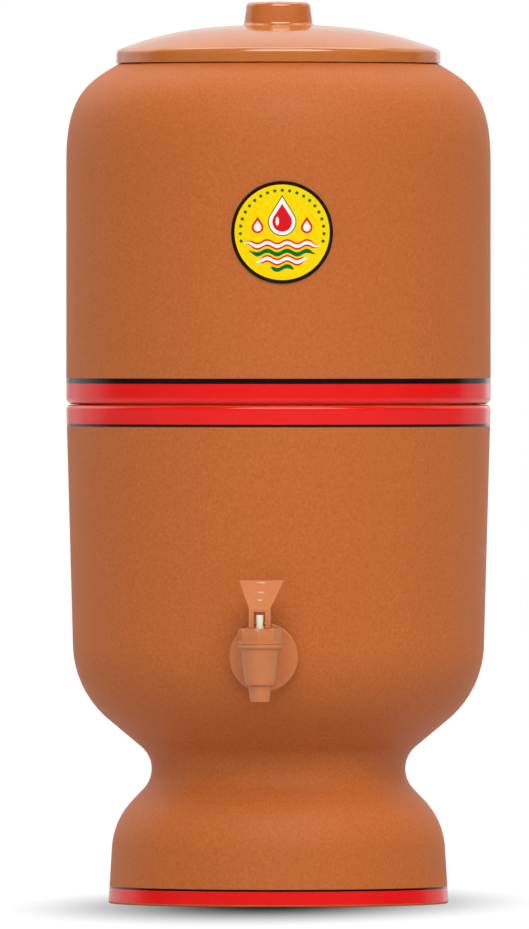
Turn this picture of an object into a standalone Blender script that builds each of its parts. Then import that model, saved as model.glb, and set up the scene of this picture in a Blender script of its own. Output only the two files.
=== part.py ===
# Clay gravity water filter: two stacked clay chambers, a plastic lid, a ceramic candle with a
# float valve, and a push tap. Metres, +Z up. The tap faces -Y and the foot stands on z = 0.

import math

import bmesh
import bpy
from mathutils import Matrix, Vector

# Clearances and fineness
GAP = 0.0003  # between pieces that touch
MERGE = 0.000001  # points closer than this are one point
OVERCUT = 0.0050  # how far a cutter runs on past the faces that it cuts
SAGITTA = 0.0004  # how far a round's flats may stand off its true curve
FILLET_SHARE = 0.49  # how much of a side a fillet at its end may take
SHARP_TURN = math.radians(32)  # faces that meet at more than this are shaded with a sharp edge
OUTWARD = 0.3  # how squarely a face has to look outwards to be painted
VESSEL_SIDES = 48  # each number of sides is a multiple of four, with a point on each axis
FITTING_SIDES = 32
CANDLE_SIDES = 24
SMALL_SIDES = 16

# Both chambers
BODY_RADIUS = 0.1273
CLAY_WALL = 0.0090
FLOOR_FILLET = 0.0140
MOUTH_EDGE_FILLET = 0.0015

# Lower chamber with its hollow foot: heights are above the ground
LOWER_HEIGHT = 0.2990
LOWER_EDGE_FILLET = 0.0026
FOOT_BASE_RADIUS = 0.1020
FOOT_EDGE_FILLET = 0.0010
FOOT_DRAFT = 0.0030  # how much narrower the foot is where it bends in
FOOT_HEIGHT = 0.0497
FOOT_FILLET = 0.0450
FOOT_WALL = 0.0100
WAIST_RADIUS = 0.0682
WAIST_HEIGHT = 0.0821
WAIST_FILLET = 0.0173
BELLY_DRAFT = 0.0047  # how much narrower the wall is at the belly than at the mouth
BELLY_HEIGHT = 0.1275
BELLY_FILLET = 0.0600
FLOOR_ABOVE_WAIST = 0.0164
FLOOR_THICKNESS = 0.0120

# Upper chamber: it stands on the lower one, and a ring under its floor drops into that mouth
UPPER_HEIGHT = 0.2042
UPPER_FLOOR = 0.0110
UPPER_EDGE_FILLET = 0.0032
SHOULDER_DROP = 0.0581
SHOULDER_START_PULL = 0.0405
SHOULDER_END_PULL = 0.0208
SHOULDER_END_LEAN = math.radians(58.9)
SHOULDER_STEPS = 8
RIM_RADIUS = 0.0958
RIM_WIDTH = 0.0118
RIM_THICKNESS = 0.0070
BOSS_DEPTH = 0.0080
BOSS_WIDTH = 0.0100
BOSS_CLEARANCE = 0.0015

# Painted bands: heights above the seam, depths below the lower chamber's top, heights on the foot
UPPER_RED_LOW = 0.0009
UPPER_RED_HIGH = 0.0125
UPPER_BLACK_HIGH = 0.0157
LOWER_RED_DEPTH = 0.0010
LOWER_RED_END = 0.0113
LOWER_BLACK_END = 0.0130
FOOT_RED_LOW = 0.0012
FOOT_RED_HIGH = 0.0091
FOOT_BLACK_HIGH = 0.0104

# Lid, one moulding with a hollow knob and a ring that centres it in the mouth
LID_OVERHANG = 0.0014
LID_RIM_HEIGHT = 0.0078
LID_RIM_WALL = 0.0030
LID_RIM_FILLET = 0.0016
LID_WALL = 0.0025
LID_CROWN = 0.0154
LID_CROWN_PULL = 0.0453
LID_EDGE_PULL = 0.0296
LID_EDGE_SLOPE = math.radians(21.5)
LID_DOME_STEPS = 6
LID_RING_CLEARANCE = 0.0020
LID_RING_WALL = 0.0022
LID_RING_DEPTH = 0.0080
KNOB_RADIUS = 0.0207
KNOB_DRAFT = 0.0018
KNOB_HEIGHT = 0.0136
KNOB_CROWN = 0.0009
KNOB_FILLET = 0.0026

# Round label on the front of the upper chamber
LABEL_RADIUS = 0.0305
LABEL_THICKNESS = 0.0004
LABEL_ABOVE_SEAM = 0.1027
LABEL_TURN = math.radians(5.0)
LABEL_SIDES = 48

# Ceramic candle and what holds it in the upper chamber's floor
CANDLE_STEM_RADIUS = 0.0055
CANDLE_STEM_WALL = 0.0030
CANDLE_HOLE_CLEARANCE = 0.0010
CANDLE_RADIUS = 0.0270
CANDLE_HEIGHT = 0.0950
CANDLE_WALL = 0.0080
CANDLE_BASE_LIP = 0.0030
CANDLE_BASE_HEIGHT = 0.0120
CANDLE_SPIGOT_HEIGHT = 0.0040
CORE_CLEARANCE = 0.0040
CORE_BORE = 0.0040
CORE_HEADROOM = 0.0180
CANDLE_WASHER_WIDTH = 0.0075
CANDLE_WASHER_THICKNESS = 0.0030
CANDLE_NUT_WALL = 0.0035
CANDLE_NUT_WINGS = 0.0060
CANDLE_NUT_HEIGHT = 0.0080
WING_SHARPNESS = 6

# Float valve on the candle's stem. Its arm is level when it is shut and hangs when the water is low
FLOAT_VALVE_WALL = 0.0032
FLOAT_VALVE_HEIGHT = 0.0160
FLOAT_VALVE_SOCKET = 0.0110
FLOAT_OUTLET_RADIUS = 0.0020
FLOAT_PIVOT_INSET = 0.0010
FLOAT_PIN_RADIUS = 0.0012
FLOAT_LUG_THICKNESS = 0.0022
FLOAT_LUG_REACH = 0.0032  # how far a lug goes on around the pin
FLOAT_ARM_WIDTH = 0.0060
FLOAT_ARM_THICKNESS = 0.0034
FLOAT_ARM_TAIL = 0.0036
FLOAT_ARM_REACH = 0.0560
FLOAT_STUD_RADIUS = 0.0022
FLOAT_STUD_LENGTH = 0.0060
FLOAT_RADIUS = 0.0180
FLOAT_HEIGHT = 0.0240
FLOAT_FILLET = 0.0050
FLOAT_PAD_LAP = 0.0020
FLOAT_PAD_THICKNESS = 0.0015
FLOAT_DROP = math.radians(20.0)

# Tap: a level shank through the wall, and an upright barrel in front of it
TAP_ABOVE_BELLY = 0.0219
TAP_STANDOFF = 0.0357  # from the wall to the barrel's axis
SHANK_RADIUS = 0.0080
SHANK_WALL = 0.0038
SHANK_HOLE_CLEARANCE = 0.0005
SHANK_SPARE = 0.0030  # how far the shank ends past its nut
NECK_RADIUS = 0.0070
FLANGE_RADIUS = 0.0206
FLANGE_THICKNESS = 0.0024
FLANGE_FILLET = 0.0010
GASKET_WIDTH = 0.0070
GASKET_LEAST = 0.0008  # the gasket's thickness where the wall comes nearest to the flange
WASHER_WIDTH = 0.0050
WASHER_LEAST = 0.0010
SHANK_NUT_WALL = 0.0065
SHANK_NUT_THICKNESS = 0.0070
SHANK_NUT_SIDES = 6
BARREL_FOOT_RADIUS = 0.0089
BARREL_FLARE = 0.0033
BARREL_WALL = 0.0019
BARREL_ABOVE_SHANK = 0.0057
BARREL_BELOW_SHANK = 0.0162
BARREL_FOOT_FILLET = 0.0012
COLLAR_LIP = 0.00125
COLLAR_HEIGHT = 0.0023
NOZZLE_LENGTH = 0.0099
NOZZLE_STEP = 0.00185
NOZZLE_TAPER = 0.00135
NOZZLE_WALL = 0.0019
SEAT_THICKNESS = 0.0038

# Bonnet: an eight-sided cap that screws into the barrel
BONNET_COLLAR_HEIGHT = 0.0023
BONNET_HEAD_HEIGHT = 0.0069
BONNET_SIDES = 8
BONNET_CORNER_INSET = 0.00015
BONNET_CHAMFER = 0.0014
BONNET_PLUG_DEPTH = 0.0030
BONNET_TURN = math.radians(-3.0)

# Valve stem, the silicone cup on its foot and the pin through its head
STEM_RADIUS = 0.0024
STEM_ABOVE_PIN = 0.0059
STEM_IN_CUP = 0.0060
CUP_CLEARANCE = 0.0014
CUP_NECK_WALL = 0.0011
CUP_HEIGHT = 0.0085
CUP_SKIRT = 0.0028
PIN_RADIUS = 0.0011

# Lever: a fork over the stem that opens into a fan-shaped thumb tab
LEVER_FOOT_DEPTH = 0.0025
LEVER_FOOT_FRONT = 0.0030
LEVER_FOOT_REAR = 0.0055
LEVER_NECK_HEIGHT = 0.0115
LEVER_CREASE_FRONT = 0.0026
LEVER_SIDE_CLEARANCE = 0.0009
LEVER_TOP_CLEARANCE = 0.0006
LEVER_LEG_THICKNESS = 0.0032
LEVER_BRIDGE = 0.0024
LEVER_SOFTENING = 0.0005
TAB_RISE = 0.0164
TAB_LEAN = math.radians(47.7)
TAB_FLARE = 0.0070
TAB_THICKNESS = 0.0024
TAB_CORNER = 0.0008

# Sizes that follow from the ones above
FOOT_RADIUS = FOOT_BASE_RADIUS - FOOT_DRAFT
BELLY_RADIUS = BODY_RADIUS - BELLY_DRAFT
LOWER_FLOOR = WAIST_HEIGHT + FLOOR_ABOVE_WAIST
SEAM = LOWER_HEIGHT + GAP
RIM = SEAM + UPPER_HEIGHT
MOUTH_RADIUS = RIM_RADIUS - RIM_WIDTH
CANDLE_BORE = CANDLE_RADIUS - CANDLE_WALL
CANDLE_FOOT = SEAM + UPPER_FLOOR + CANDLE_WASHER_THICKNESS + 2 * GAP
CANDLE_NUT_FOOT = SEAM - CANDLE_WASHER_THICKNESS - CANDLE_NUT_HEIGHT - 2 * GAP
FLOAT_VALVE_RADIUS = CANDLE_STEM_RADIUS + GAP + FLOAT_VALVE_WALL
FLOAT_VALVE_FOOT = CANDLE_NUT_FOOT - GAP - FLOAT_VALVE_HEIGHT
FLOAT_SETBACK = FLOAT_VALVE_RADIUS - FLOAT_PIVOT_INSET
TAP_HEIGHT = BELLY_HEIGHT + TAP_ABOVE_BELLY
GASKET_RADIUS = SHANK_RADIUS + GASKET_WIDTH
WASHER_RADIUS = SHANK_RADIUS + WASHER_WIDTH
SHANK_NUT_RADIUS = SHANK_RADIUS + SHANK_NUT_WALL
CHANNEL_RADIUS = SHANK_RADIUS - SHANK_WALL
BARREL_BORE = BARREL_FOOT_RADIUS - BARREL_WALL
BARREL_TOP_RADIUS = BARREL_FOOT_RADIUS + BARREL_FLARE
COLLAR_RADIUS = BARREL_TOP_RADIUS + COLLAR_LIP
NOZZLE_TOP_RADIUS = BARREL_FOOT_RADIUS - NOZZLE_STEP
NOZZLE_TIP_RADIUS = NOZZLE_TOP_RADIUS - NOZZLE_TAPER
NOZZLE_BORE = NOZZLE_TIP_RADIUS - NOZZLE_WALL
LEVER_SLOT = 2 * (STEM_RADIUS + LEVER_SIDE_CLEARANCE)
LEVER_WIDTH = LEVER_SLOT + 2 * LEVER_LEG_THICKNESS
LEVER_SLOT_TOP = math.hypot(STEM_ABOVE_PIN, STEM_RADIUS) + LEVER_TOP_CLEARANCE
LEVER_CREASE = LEVER_SLOT_TOP + LEVER_BRIDGE
TAB_WIDTH = LEVER_WIDTH + 2 * TAB_FLARE

# Heights on the tap, from the shank's axis
NOZZLE_TIP = -BARREL_BELOW_SHANK - NOZZLE_LENGTH
SEAT = -BARREL_BELOW_SHANK + SEAT_THICKNESS
COLLAR_TOP = BARREL_ABOVE_SHANK + COLLAR_HEIGHT
BONNET_FOOT = COLLAR_TOP + GAP
BONNET_TOP = BONNET_FOOT + BONNET_COLLAR_HEIGHT + BONNET_HEAD_HEIGHT
PIN_HEIGHT = BONNET_TOP + GAP + LEVER_FOOT_DEPTH

# Turns that lay an upright shape along another axis
ALONG_X = (0, math.radians(90), 0)
ALONG_Y = (math.radians(90), 0, 0)
SIDE_VIEW = (math.radians(90), 0, math.radians(-90))


# Outlines: lists of points (distance from the axis, height)

def round_corner(before, corner, after, fillet):
    """Points of a round at a corner, whose radius is limited by the length of its two sides."""
    to_before = before - corner
    to_after = after - corner
    half = to_before.angle(to_after) / 2
    longest = FILLET_SHARE * min(to_before.length, to_after.length)
    reach = min(fillet / math.tan(half), longest)
    radius = reach * math.tan(half)
    middle = (to_before.normalized() + to_after.normalized()).normalized()
    centre = corner + middle * radius / math.sin(half)
    start = corner + to_before.normalized() * reach - centre
    end = corner + to_after.normalized() * reach - centre
    sweep = math.atan2(start.cross(end), start.dot(end))
    step_angle = 2 * math.acos(1 - min(SAGITTA / radius, 1))
    steps = max(2, math.ceil(abs(sweep) / step_angle))
    return [centre + Matrix.Rotation(sweep * step / steps, 2) @ start for step in range(steps + 1)]


def rounded(corners, closed=False):
    """Corners are (a, b) or (a, b, fillet). The two ends of an open outline stay sharp."""
    points = [Vector(corner[:2]) for corner in corners]
    outline = []
    for index, corner in enumerate(corners):
        is_end = index in (0, len(corners) - 1)
        if len(corner) == 2 or (is_end and not closed):
            outline.append(points[index])
        else:
            after = points[(index + 1) % len(points)]
            outline += round_corner(points[index - 1], points[index], after, corner[2])
    return outline


def curved(start, start_pull, end_pull, end, steps):
    """Points of a cubic curve from start to end, drawn out by its two pull vectors."""
    handles = (start, start + start_pull, end + end_pull, end)
    points = []
    for step in range(steps + 1):
        t = step / steps
        weights = ((1 - t) ** 3, 3 * t * (1 - t) ** 2, 3 * t ** 2 * (1 - t), t ** 3)
        points.append(sum((handle * weight for weight, handle in zip(weights, handles)), Vector((0, 0))))
    return points


def shifted(outline, distance):
    """An open outline moved to its left by a distance, as a wall's other face lies."""
    ways = [(after - before).normalized() for before, after in zip(outline, outline[1:])]
    moved = []
    for index, point in enumerate(outline):
        way_in = ways[max(index - 1, 0)]
        way_out = ways[min(index, len(ways) - 1)]
        left = Vector((-way_in.y - way_out.y, way_in.x + way_out.x)).normalized()
        moved.append(point + left * distance / left.dot(Vector((-way_in.y, way_in.x))))
    return moved


def at_height(a, b, height):
    """The point at a height on the line through a and b."""
    return a + (b - a) * (height - a.y) / (b.y - a.y)


def crossing(outline, axis, value):
    """The point where an outline first reaches a distance from the axis (0) or a height (1)."""
    for before, after in zip(outline, outline[1:]):
        low, high = sorted((before[axis], after[axis]))
        if low < high and low <= value <= high:
            return before.lerp(after, (value - before[axis]) / (after[axis] - before[axis]))
    return outline[-1]


def between(outline, start, end):
    """The stretch of an outline from one distance from the axis to another."""
    low, high = sorted((start, end))
    inner = [point for point in outline if low + MERGE < point.x < high - MERGE]
    if (outline[-1].x - outline[0].x) * (end - start) < 0:
        inner.reverse()
    return [crossing(outline, 0, start)] + inner + [crossing(outline, 0, end)]


def with_levels(outline, bands):
    """The outline with a point where each painted band starts and ends on its rising stretches."""
    levels = sorted({level for low, high, slot in bands for level in (low, high)})
    result = [outline[0]]
    for before, after in zip(outline, outline[1:]):
        result += [at_height(before, after, z) for z in levels if before.y + MERGE < z < after.y - MERGE]
        result.append(after)
    return result


# Meshes

def spun(outline, sides, closed=False):
    """An outline turned about the upright axis."""
    shape = bmesh.new()
    points = [shape.verts.new((point[0], 0, point[1])) for point in outline]
    edges = [shape.edges.new(pair) for pair in zip(points, points[1:])]
    if closed:
        edges.append(shape.edges.new((points[-1], points[0])))
    bmesh.ops.spin(shape, geom=points + edges, cent=(0, 0, 0), axis=(0, 0, 1),
                   angle=math.tau, steps=sides, use_merge=True)
    return shape


def lift(shape, faces, height):
    """Extrudes faces upwards by a height."""
    grown = bmesh.ops.extrude_face_region(shape, geom=faces)["geom"]
    top = [item for item in grown if isinstance(item, bmesh.types.BMVert)]
    bmesh.ops.translate(shape, vec=(0, 0, height), verts=top)


def extruded(outline, start, end):
    """A flat outline in X and Y, carried up from one height to another."""
    shape = bmesh.new()
    face = shape.faces.new([shape.verts.new((point[0], point[1], start)) for point in outline])
    lift(shape, [face], end - start)
    return shape


def boxed(low, high):
    """A box between two opposite corners."""
    corners = ((low[0], low[1]), (high[0], low[1]), (high[0], high[1]), (low[0], high[1]))
    return extruded(corners, low[2], high[2])


def rod(radius, start, end, sides):
    return spun([(0, start), (radius, start), (radius, end), (0, end)], sides)


def ring(inner, outer, start, end, sides):
    return spun([(inner, start), (outer, start), (outer, end), (inner, end)], sides, closed=True)


def flats_cutter(sides, corner_radius, start, end):
    """A block round a hole with flat sides, which leaves those flats on a round blank."""
    shape = bmesh.new()
    for radius in (corner_radius, 2 * corner_radius):
        bmesh.ops.create_circle(shape, segments=sides, radius=radius)
    faces = bmesh.ops.bridge_loops(shape, edges=shape.edges[:])["faces"]
    bmesh.ops.translate(shape, vec=(0, 0, start), verts=shape.verts)
    lift(shape, faces, end - start)
    return shape


# Objects and materials

def srgb(red, green, blue):
    """A colour given in 0 to 255 as a screen shows it, in Blender's linear values."""
    scaled = [value / 255 for value in (red, green, blue)]
    return [v / 12.92 if v <= 0.04045 else ((v + 0.055) / 1.055) ** 2.4 for v in scaled] + [1.0]


def make_material(name, colour, roughness, metallic=0.0):
    material = bpy.data.materials.new(name)
    material.use_nodes = True
    shader = material.node_tree.nodes["Principled BSDF"]
    shader.inputs["Base Color"].default_value = srgb(*colour)
    shader.inputs["Roughness"].default_value = roughness
    shader.inputs["Metallic"].default_value = metallic
    material.diffuse_color = srgb(*colour)
    return material


def make_empty(name, parent=None, location=(0, 0, 0), rotation=(0, 0, 0)):
    empty = bpy.data.objects.new(name, None)
    empty.parent = parent
    empty.location = location
    empty.rotation_euler = rotation
    bpy.context.scene.collection.objects.link(empty)
    return empty


def make_piece(name, shape, parent, materials, location=(0, 0, 0), rotation=(0, 0, 0)):
    """Makes a finished shape an object, with its faces outwards and its rounds shaded smooth."""
    bmesh.ops.remove_doubles(shape, verts=shape.verts, dist=MERGE)
    bmesh.ops.recalc_face_normals(shape, faces=shape.faces)
    mesh = bpy.data.meshes.new(name)
    shape.to_mesh(mesh)
    shape.free()
    mesh.shade_smooth()
    mesh.set_sharp_from_angle(angle=SHARP_TURN)
    for material in materials:
        mesh.materials.append(material)
    piece = bpy.data.objects.new(name, mesh)
    piece.parent = parent
    piece.location = location
    piece.rotation_euler = rotation
    bpy.context.scene.collection.objects.link(piece)
    return piece


def combine(piece, operation, name, shape, parent=None, location=(0, 0, 0), rotation=(0, 0, 0)):
    """Joins a second shape to a piece, cuts it out or trims by it. The shape stays as a guide."""
    guide = make_piece(name, shape, parent or piece.parent, piece.data.materials, location, rotation)
    guide.display_type = "WIRE"
    guide.hide_render = True
    change = piece.modifiers.new(name, "BOOLEAN")
    change.operation = operation
    change.solver = "EXACT"
    change.object = guide


def paint_bands(piece, bands):
    """Gives the outward faces between two heights the material slot of their band."""
    for face in piece.data.polygons:
        outward = face.normal.dot(Vector((face.center.x, face.center.y, 0)).normalized())
        for low, high, slot in bands:
            if outward > OUTWARD and low < face.center.z < high:
                face.material_index = slot


# Chambers

def lower_corners():
    """The lower chamber's outside, from the ground to its top edge."""
    return [
        (FOOT_BASE_RADIUS, 0, FOOT_EDGE_FILLET),
        (FOOT_RADIUS, FOOT_HEIGHT, FOOT_FILLET),
        (WAIST_RADIUS, WAIST_HEIGHT, WAIST_FILLET),
        (BELLY_RADIUS, BELLY_HEIGHT, BELLY_FILLET),
        (BODY_RADIUS, LOWER_HEIGHT, LOWER_EDGE_FILLET),
    ]


def wall_corners(thickness):
    """The same corners, moved in by a wall."""
    return shifted([Vector(corner[:2]) for corner in lower_corners()], thickness)


def foot_hollow_corners():
    """The hollow under the lower chamber, from the middle of its ceiling to the ground."""
    foot, bend, waist, belly, top = wall_corners(FOOT_WALL)
    ceiling = at_height(bend, waist, LOWER_FLOOR - FLOOR_THICKNESS)
    return [
        (0, ceiling.y),
        (*ceiling, FLOOR_FILLET),
        (*bend, FOOT_FILLET - FOOT_WALL),
        at_height(foot, bend, 0),
    ]


def lower_cavity_corners():
    """The lower chamber's inside, from its mouth to the middle of its floor."""
    foot, bend, waist, belly, top = wall_corners(CLAY_WALL)
    return [
        (*at_height(belly, top, LOWER_HEIGHT), MOUTH_EDGE_FILLET),
        (*belly, BELLY_FILLET - CLAY_WALL),
        (*at_height(waist, belly, LOWER_FLOOR), FLOOR_FILLET),
        (0, LOWER_FLOOR),
    ]


def make_lower_chamber(assembly, tap_axis, clay, red, black):
    bands = (
        (FOOT_RED_LOW, FOOT_RED_HIGH, 1),
        (FOOT_RED_HIGH, FOOT_BLACK_HIGH, 2),
        (LOWER_HEIGHT - LOWER_BLACK_END, LOWER_HEIGHT - LOWER_RED_END, 2),
        (LOWER_HEIGHT - LOWER_RED_END, LOWER_HEIGHT - LOWER_RED_DEPTH, 1),
    )
    outline = rounded(foot_hollow_corners() + lower_corners() + lower_cavity_corners())
    chamber = make_piece("lower_chamber", spun(with_levels(outline, bands), VESSEL_SIDES),
                         assembly, (clay, red, black))
    paint_bands(chamber, bands)
    hole = rod(SHANK_RADIUS + SHANK_HOLE_CLEARANCE, WAIST_RADIUS, BODY_RADIUS + OVERCUT, FITTING_SIDES)
    combine(chamber, "DIFFERENCE", "tap_hole", hole, tap_axis)


def shoulder():
    """The upper chamber's shoulder, from the upright wall to the flat rim."""
    lean = Vector((math.sin(SHOULDER_END_LEAN), -math.cos(SHOULDER_END_LEAN)))
    return curved(Vector((BODY_RADIUS, RIM - SHOULDER_DROP)), Vector((0, SHOULDER_START_PULL)),
                  lean * SHOULDER_END_PULL, Vector((RIM_RADIUS, RIM)), SHOULDER_STEPS)


def make_upper_chamber(assembly, clay, red, black):
    bands = (
        (SEAM + UPPER_RED_LOW, SEAM + UPPER_RED_HIGH, 1),
        (SEAM + UPPER_RED_HIGH, SEAM + UPPER_BLACK_HIGH, 2),
    )
    floor_top = SEAM + UPPER_FLOOR
    hole = CANDLE_STEM_RADIUS + CANDLE_HOLE_CLEARANCE
    boss = lower_cavity_corners()[0][0] - BOSS_CLEARANCE
    outer_shoulder = shoulder()
    inner_shoulder = shifted(outer_shoulder, CLAY_WALL)
    outline = rounded([
        (hole, floor_top),
        (hole, SEAM),
        (boss - BOSS_WIDTH, SEAM),
        (boss - BOSS_WIDTH, SEAM - BOSS_DEPTH),
        (boss, SEAM - BOSS_DEPTH),
        (boss, SEAM),
        (BODY_RADIUS, SEAM, UPPER_EDGE_FILLET),
        *outer_shoulder[:-1],
        (RIM_RADIUS, RIM),
        (MOUTH_RADIUS, RIM, MOUTH_EDGE_FILLET),
        (MOUTH_RADIUS, RIM - RIM_THICKNESS, MOUTH_EDGE_FILLET),
        *reversed(inner_shoulder),
        (BODY_RADIUS - CLAY_WALL, floor_top, FLOOR_FILLET),
    ], closed=True)
    chamber = make_piece("upper_chamber", spun(with_levels(outline, bands), VESSEL_SIDES, closed=True),
                         assembly, (clay, red, black))
    paint_bands(chamber, bands)


def make_lid(assembly, plastic):
    foot = RIM + GAP
    edge = foot + LID_RIM_HEIGHT
    rim_outer = RIM_RADIUS + LID_OVERHANG
    ring_outer = MOUTH_RADIUS - LID_RING_CLEARANCE
    ring_foot = foot - LID_RING_DEPTH
    slope = Vector((-math.cos(LID_EDGE_SLOPE), math.sin(LID_EDGE_SLOPE)))
    dome = curved(Vector((0, edge + LID_CROWN)), Vector((LID_CROWN_PULL, 0)),
                  slope * LID_EDGE_PULL, Vector((rim_outer, edge)), LID_DOME_STEPS)
    inside = shifted(dome, -LID_WALL)
    knob_foot = crossing(dome, 0, KNOB_RADIUS)
    knob_top = knob_foot.y + KNOB_HEIGHT
    outline = rounded([
        (0, knob_top + KNOB_CROWN),
        (KNOB_RADIUS - KNOB_DRAFT, knob_top, KNOB_FILLET),
        *between(dome, KNOB_RADIUS, rim_outer)[:-1],
        (rim_outer, edge, LID_RIM_FILLET),
        (rim_outer, foot),
        (rim_outer - LID_RIM_WALL, foot),
        *between(inside, rim_outer - LID_RIM_WALL, ring_outer),
        (ring_outer, ring_foot),
        (ring_outer - LID_RING_WALL, ring_foot),
        *between(inside, ring_outer - LID_RING_WALL, KNOB_RADIUS - LID_WALL),
        (KNOB_RADIUS - KNOB_DRAFT - LID_WALL, knob_top - LID_WALL),
        (0, knob_top - LID_WALL),
    ])
    make_piece("lid", spun(outline, VESSEL_SIDES), assembly, (plastic,))


def make_label(assembly, paper):
    centre = SEAM + LABEL_ABOVE_SEAM
    reach = LABEL_RADIUS + OVERCUT
    inner = BODY_RADIUS + GAP
    band = ring(inner, inner + LABEL_THICKNESS, centre - reach, centre + reach, VESSEL_SIDES)
    label = make_piece("front_label", band, assembly, (paper,))
    disc = rod(LABEL_RADIUS, BODY_RADIUS - 2 * OVERCUT, inner + OVERCUT, LABEL_SIDES)
    combine(label, "INTERSECT", "label_outline", disc, None, (0, 0, centre),
            (math.radians(90), 0, LABEL_TURN))


# Candle

def make_candle(assembly, plastic, ceramic, carbon, rubber):
    shell_foot = CANDLE_FOOT + CANDLE_BASE_HEIGHT + GAP
    shell_top = shell_foot + CANDLE_HEIGHT
    spigot_top = CANDLE_FOOT + CANDLE_BASE_HEIGHT + CANDLE_SPIGOT_HEIGHT
    core_foot = spigot_top + GAP
    core_top = shell_top - CANDLE_WALL - CORE_HEADROOM
    stem_bore = CANDLE_STEM_RADIUS - CANDLE_STEM_WALL
    stem_foot = FLOAT_VALVE_FOOT + FLOAT_VALVE_HEIGHT - FLOAT_VALVE_SOCKET + GAP
    washer_inner = CANDLE_STEM_RADIUS + GAP
    washer_outer = CANDLE_STEM_RADIUS + CANDLE_WASHER_WIDTH

    base = rounded([
        (stem_bore, stem_foot),
        (CANDLE_STEM_RADIUS, stem_foot),
        (CANDLE_STEM_RADIUS, CANDLE_FOOT),
        (CANDLE_RADIUS + CANDLE_BASE_LIP, CANDLE_FOOT),
        (CANDLE_RADIUS + CANDLE_BASE_LIP, CANDLE_FOOT + CANDLE_BASE_HEIGHT),
        (CANDLE_BORE - GAP, CANDLE_FOOT + CANDLE_BASE_HEIGHT),
        (CANDLE_BORE - GAP, spigot_top),
        (stem_bore, spigot_top),
    ])
    make_piece("candle_base", spun(base, CANDLE_SIDES, closed=True), assembly, (plastic,))

    shell = rounded([
        (0, shell_top),
        (CANDLE_RADIUS, shell_top, CANDLE_RADIUS),
        (CANDLE_RADIUS, shell_foot),
        (CANDLE_BORE, shell_foot),
        (CANDLE_BORE, shell_top - CANDLE_WALL, CANDLE_BORE),
        (0, shell_top - CANDLE_WALL),
    ])
    make_piece("candle_shell", spun(shell, CANDLE_SIDES), assembly, (ceramic,))

    core_radius = CANDLE_BORE - CORE_CLEARANCE
    core = ring(CORE_BORE, core_radius, core_foot, core_top, SMALL_SIDES)
    make_piece("candle_core", core, assembly, (carbon,))

    for name, foot in (("candle_washer_upper", SEAM + UPPER_FLOOR + GAP),
                       ("candle_washer_lower", SEAM - GAP - CANDLE_WASHER_THICKNESS)):
        washer = ring(washer_inner, washer_outer, foot, foot + CANDLE_WASHER_THICKNESS, CANDLE_SIDES)
        make_piece(name, washer, assembly, (rubber,))


def make_candle_nut(assembly, plastic):
    """A nut with two wings, whose outline swells along X."""
    outline = []
    for index in range(2 * SMALL_SIDES):
        angle = math.pi * index / SMALL_SIDES
        wing = CANDLE_NUT_WINGS * math.cos(angle) ** WING_SHARPNESS
        reach = CANDLE_STEM_RADIUS + CANDLE_NUT_WALL + wing
        outline.append((reach * math.cos(angle), reach * math.sin(angle)))
    top = CANDLE_NUT_FOOT + CANDLE_NUT_HEIGHT
    nut = make_piece("candle_nut", extruded(outline, CANDLE_NUT_FOOT, top), assembly, (plastic,))
    bore = rod(CANDLE_STEM_RADIUS + GAP, CANDLE_NUT_FOOT - OVERCUT, top + OVERCUT, SMALL_SIDES)
    combine(nut, "DIFFERENCE", "candle_nut_bore", bore)


# Float valve

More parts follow.
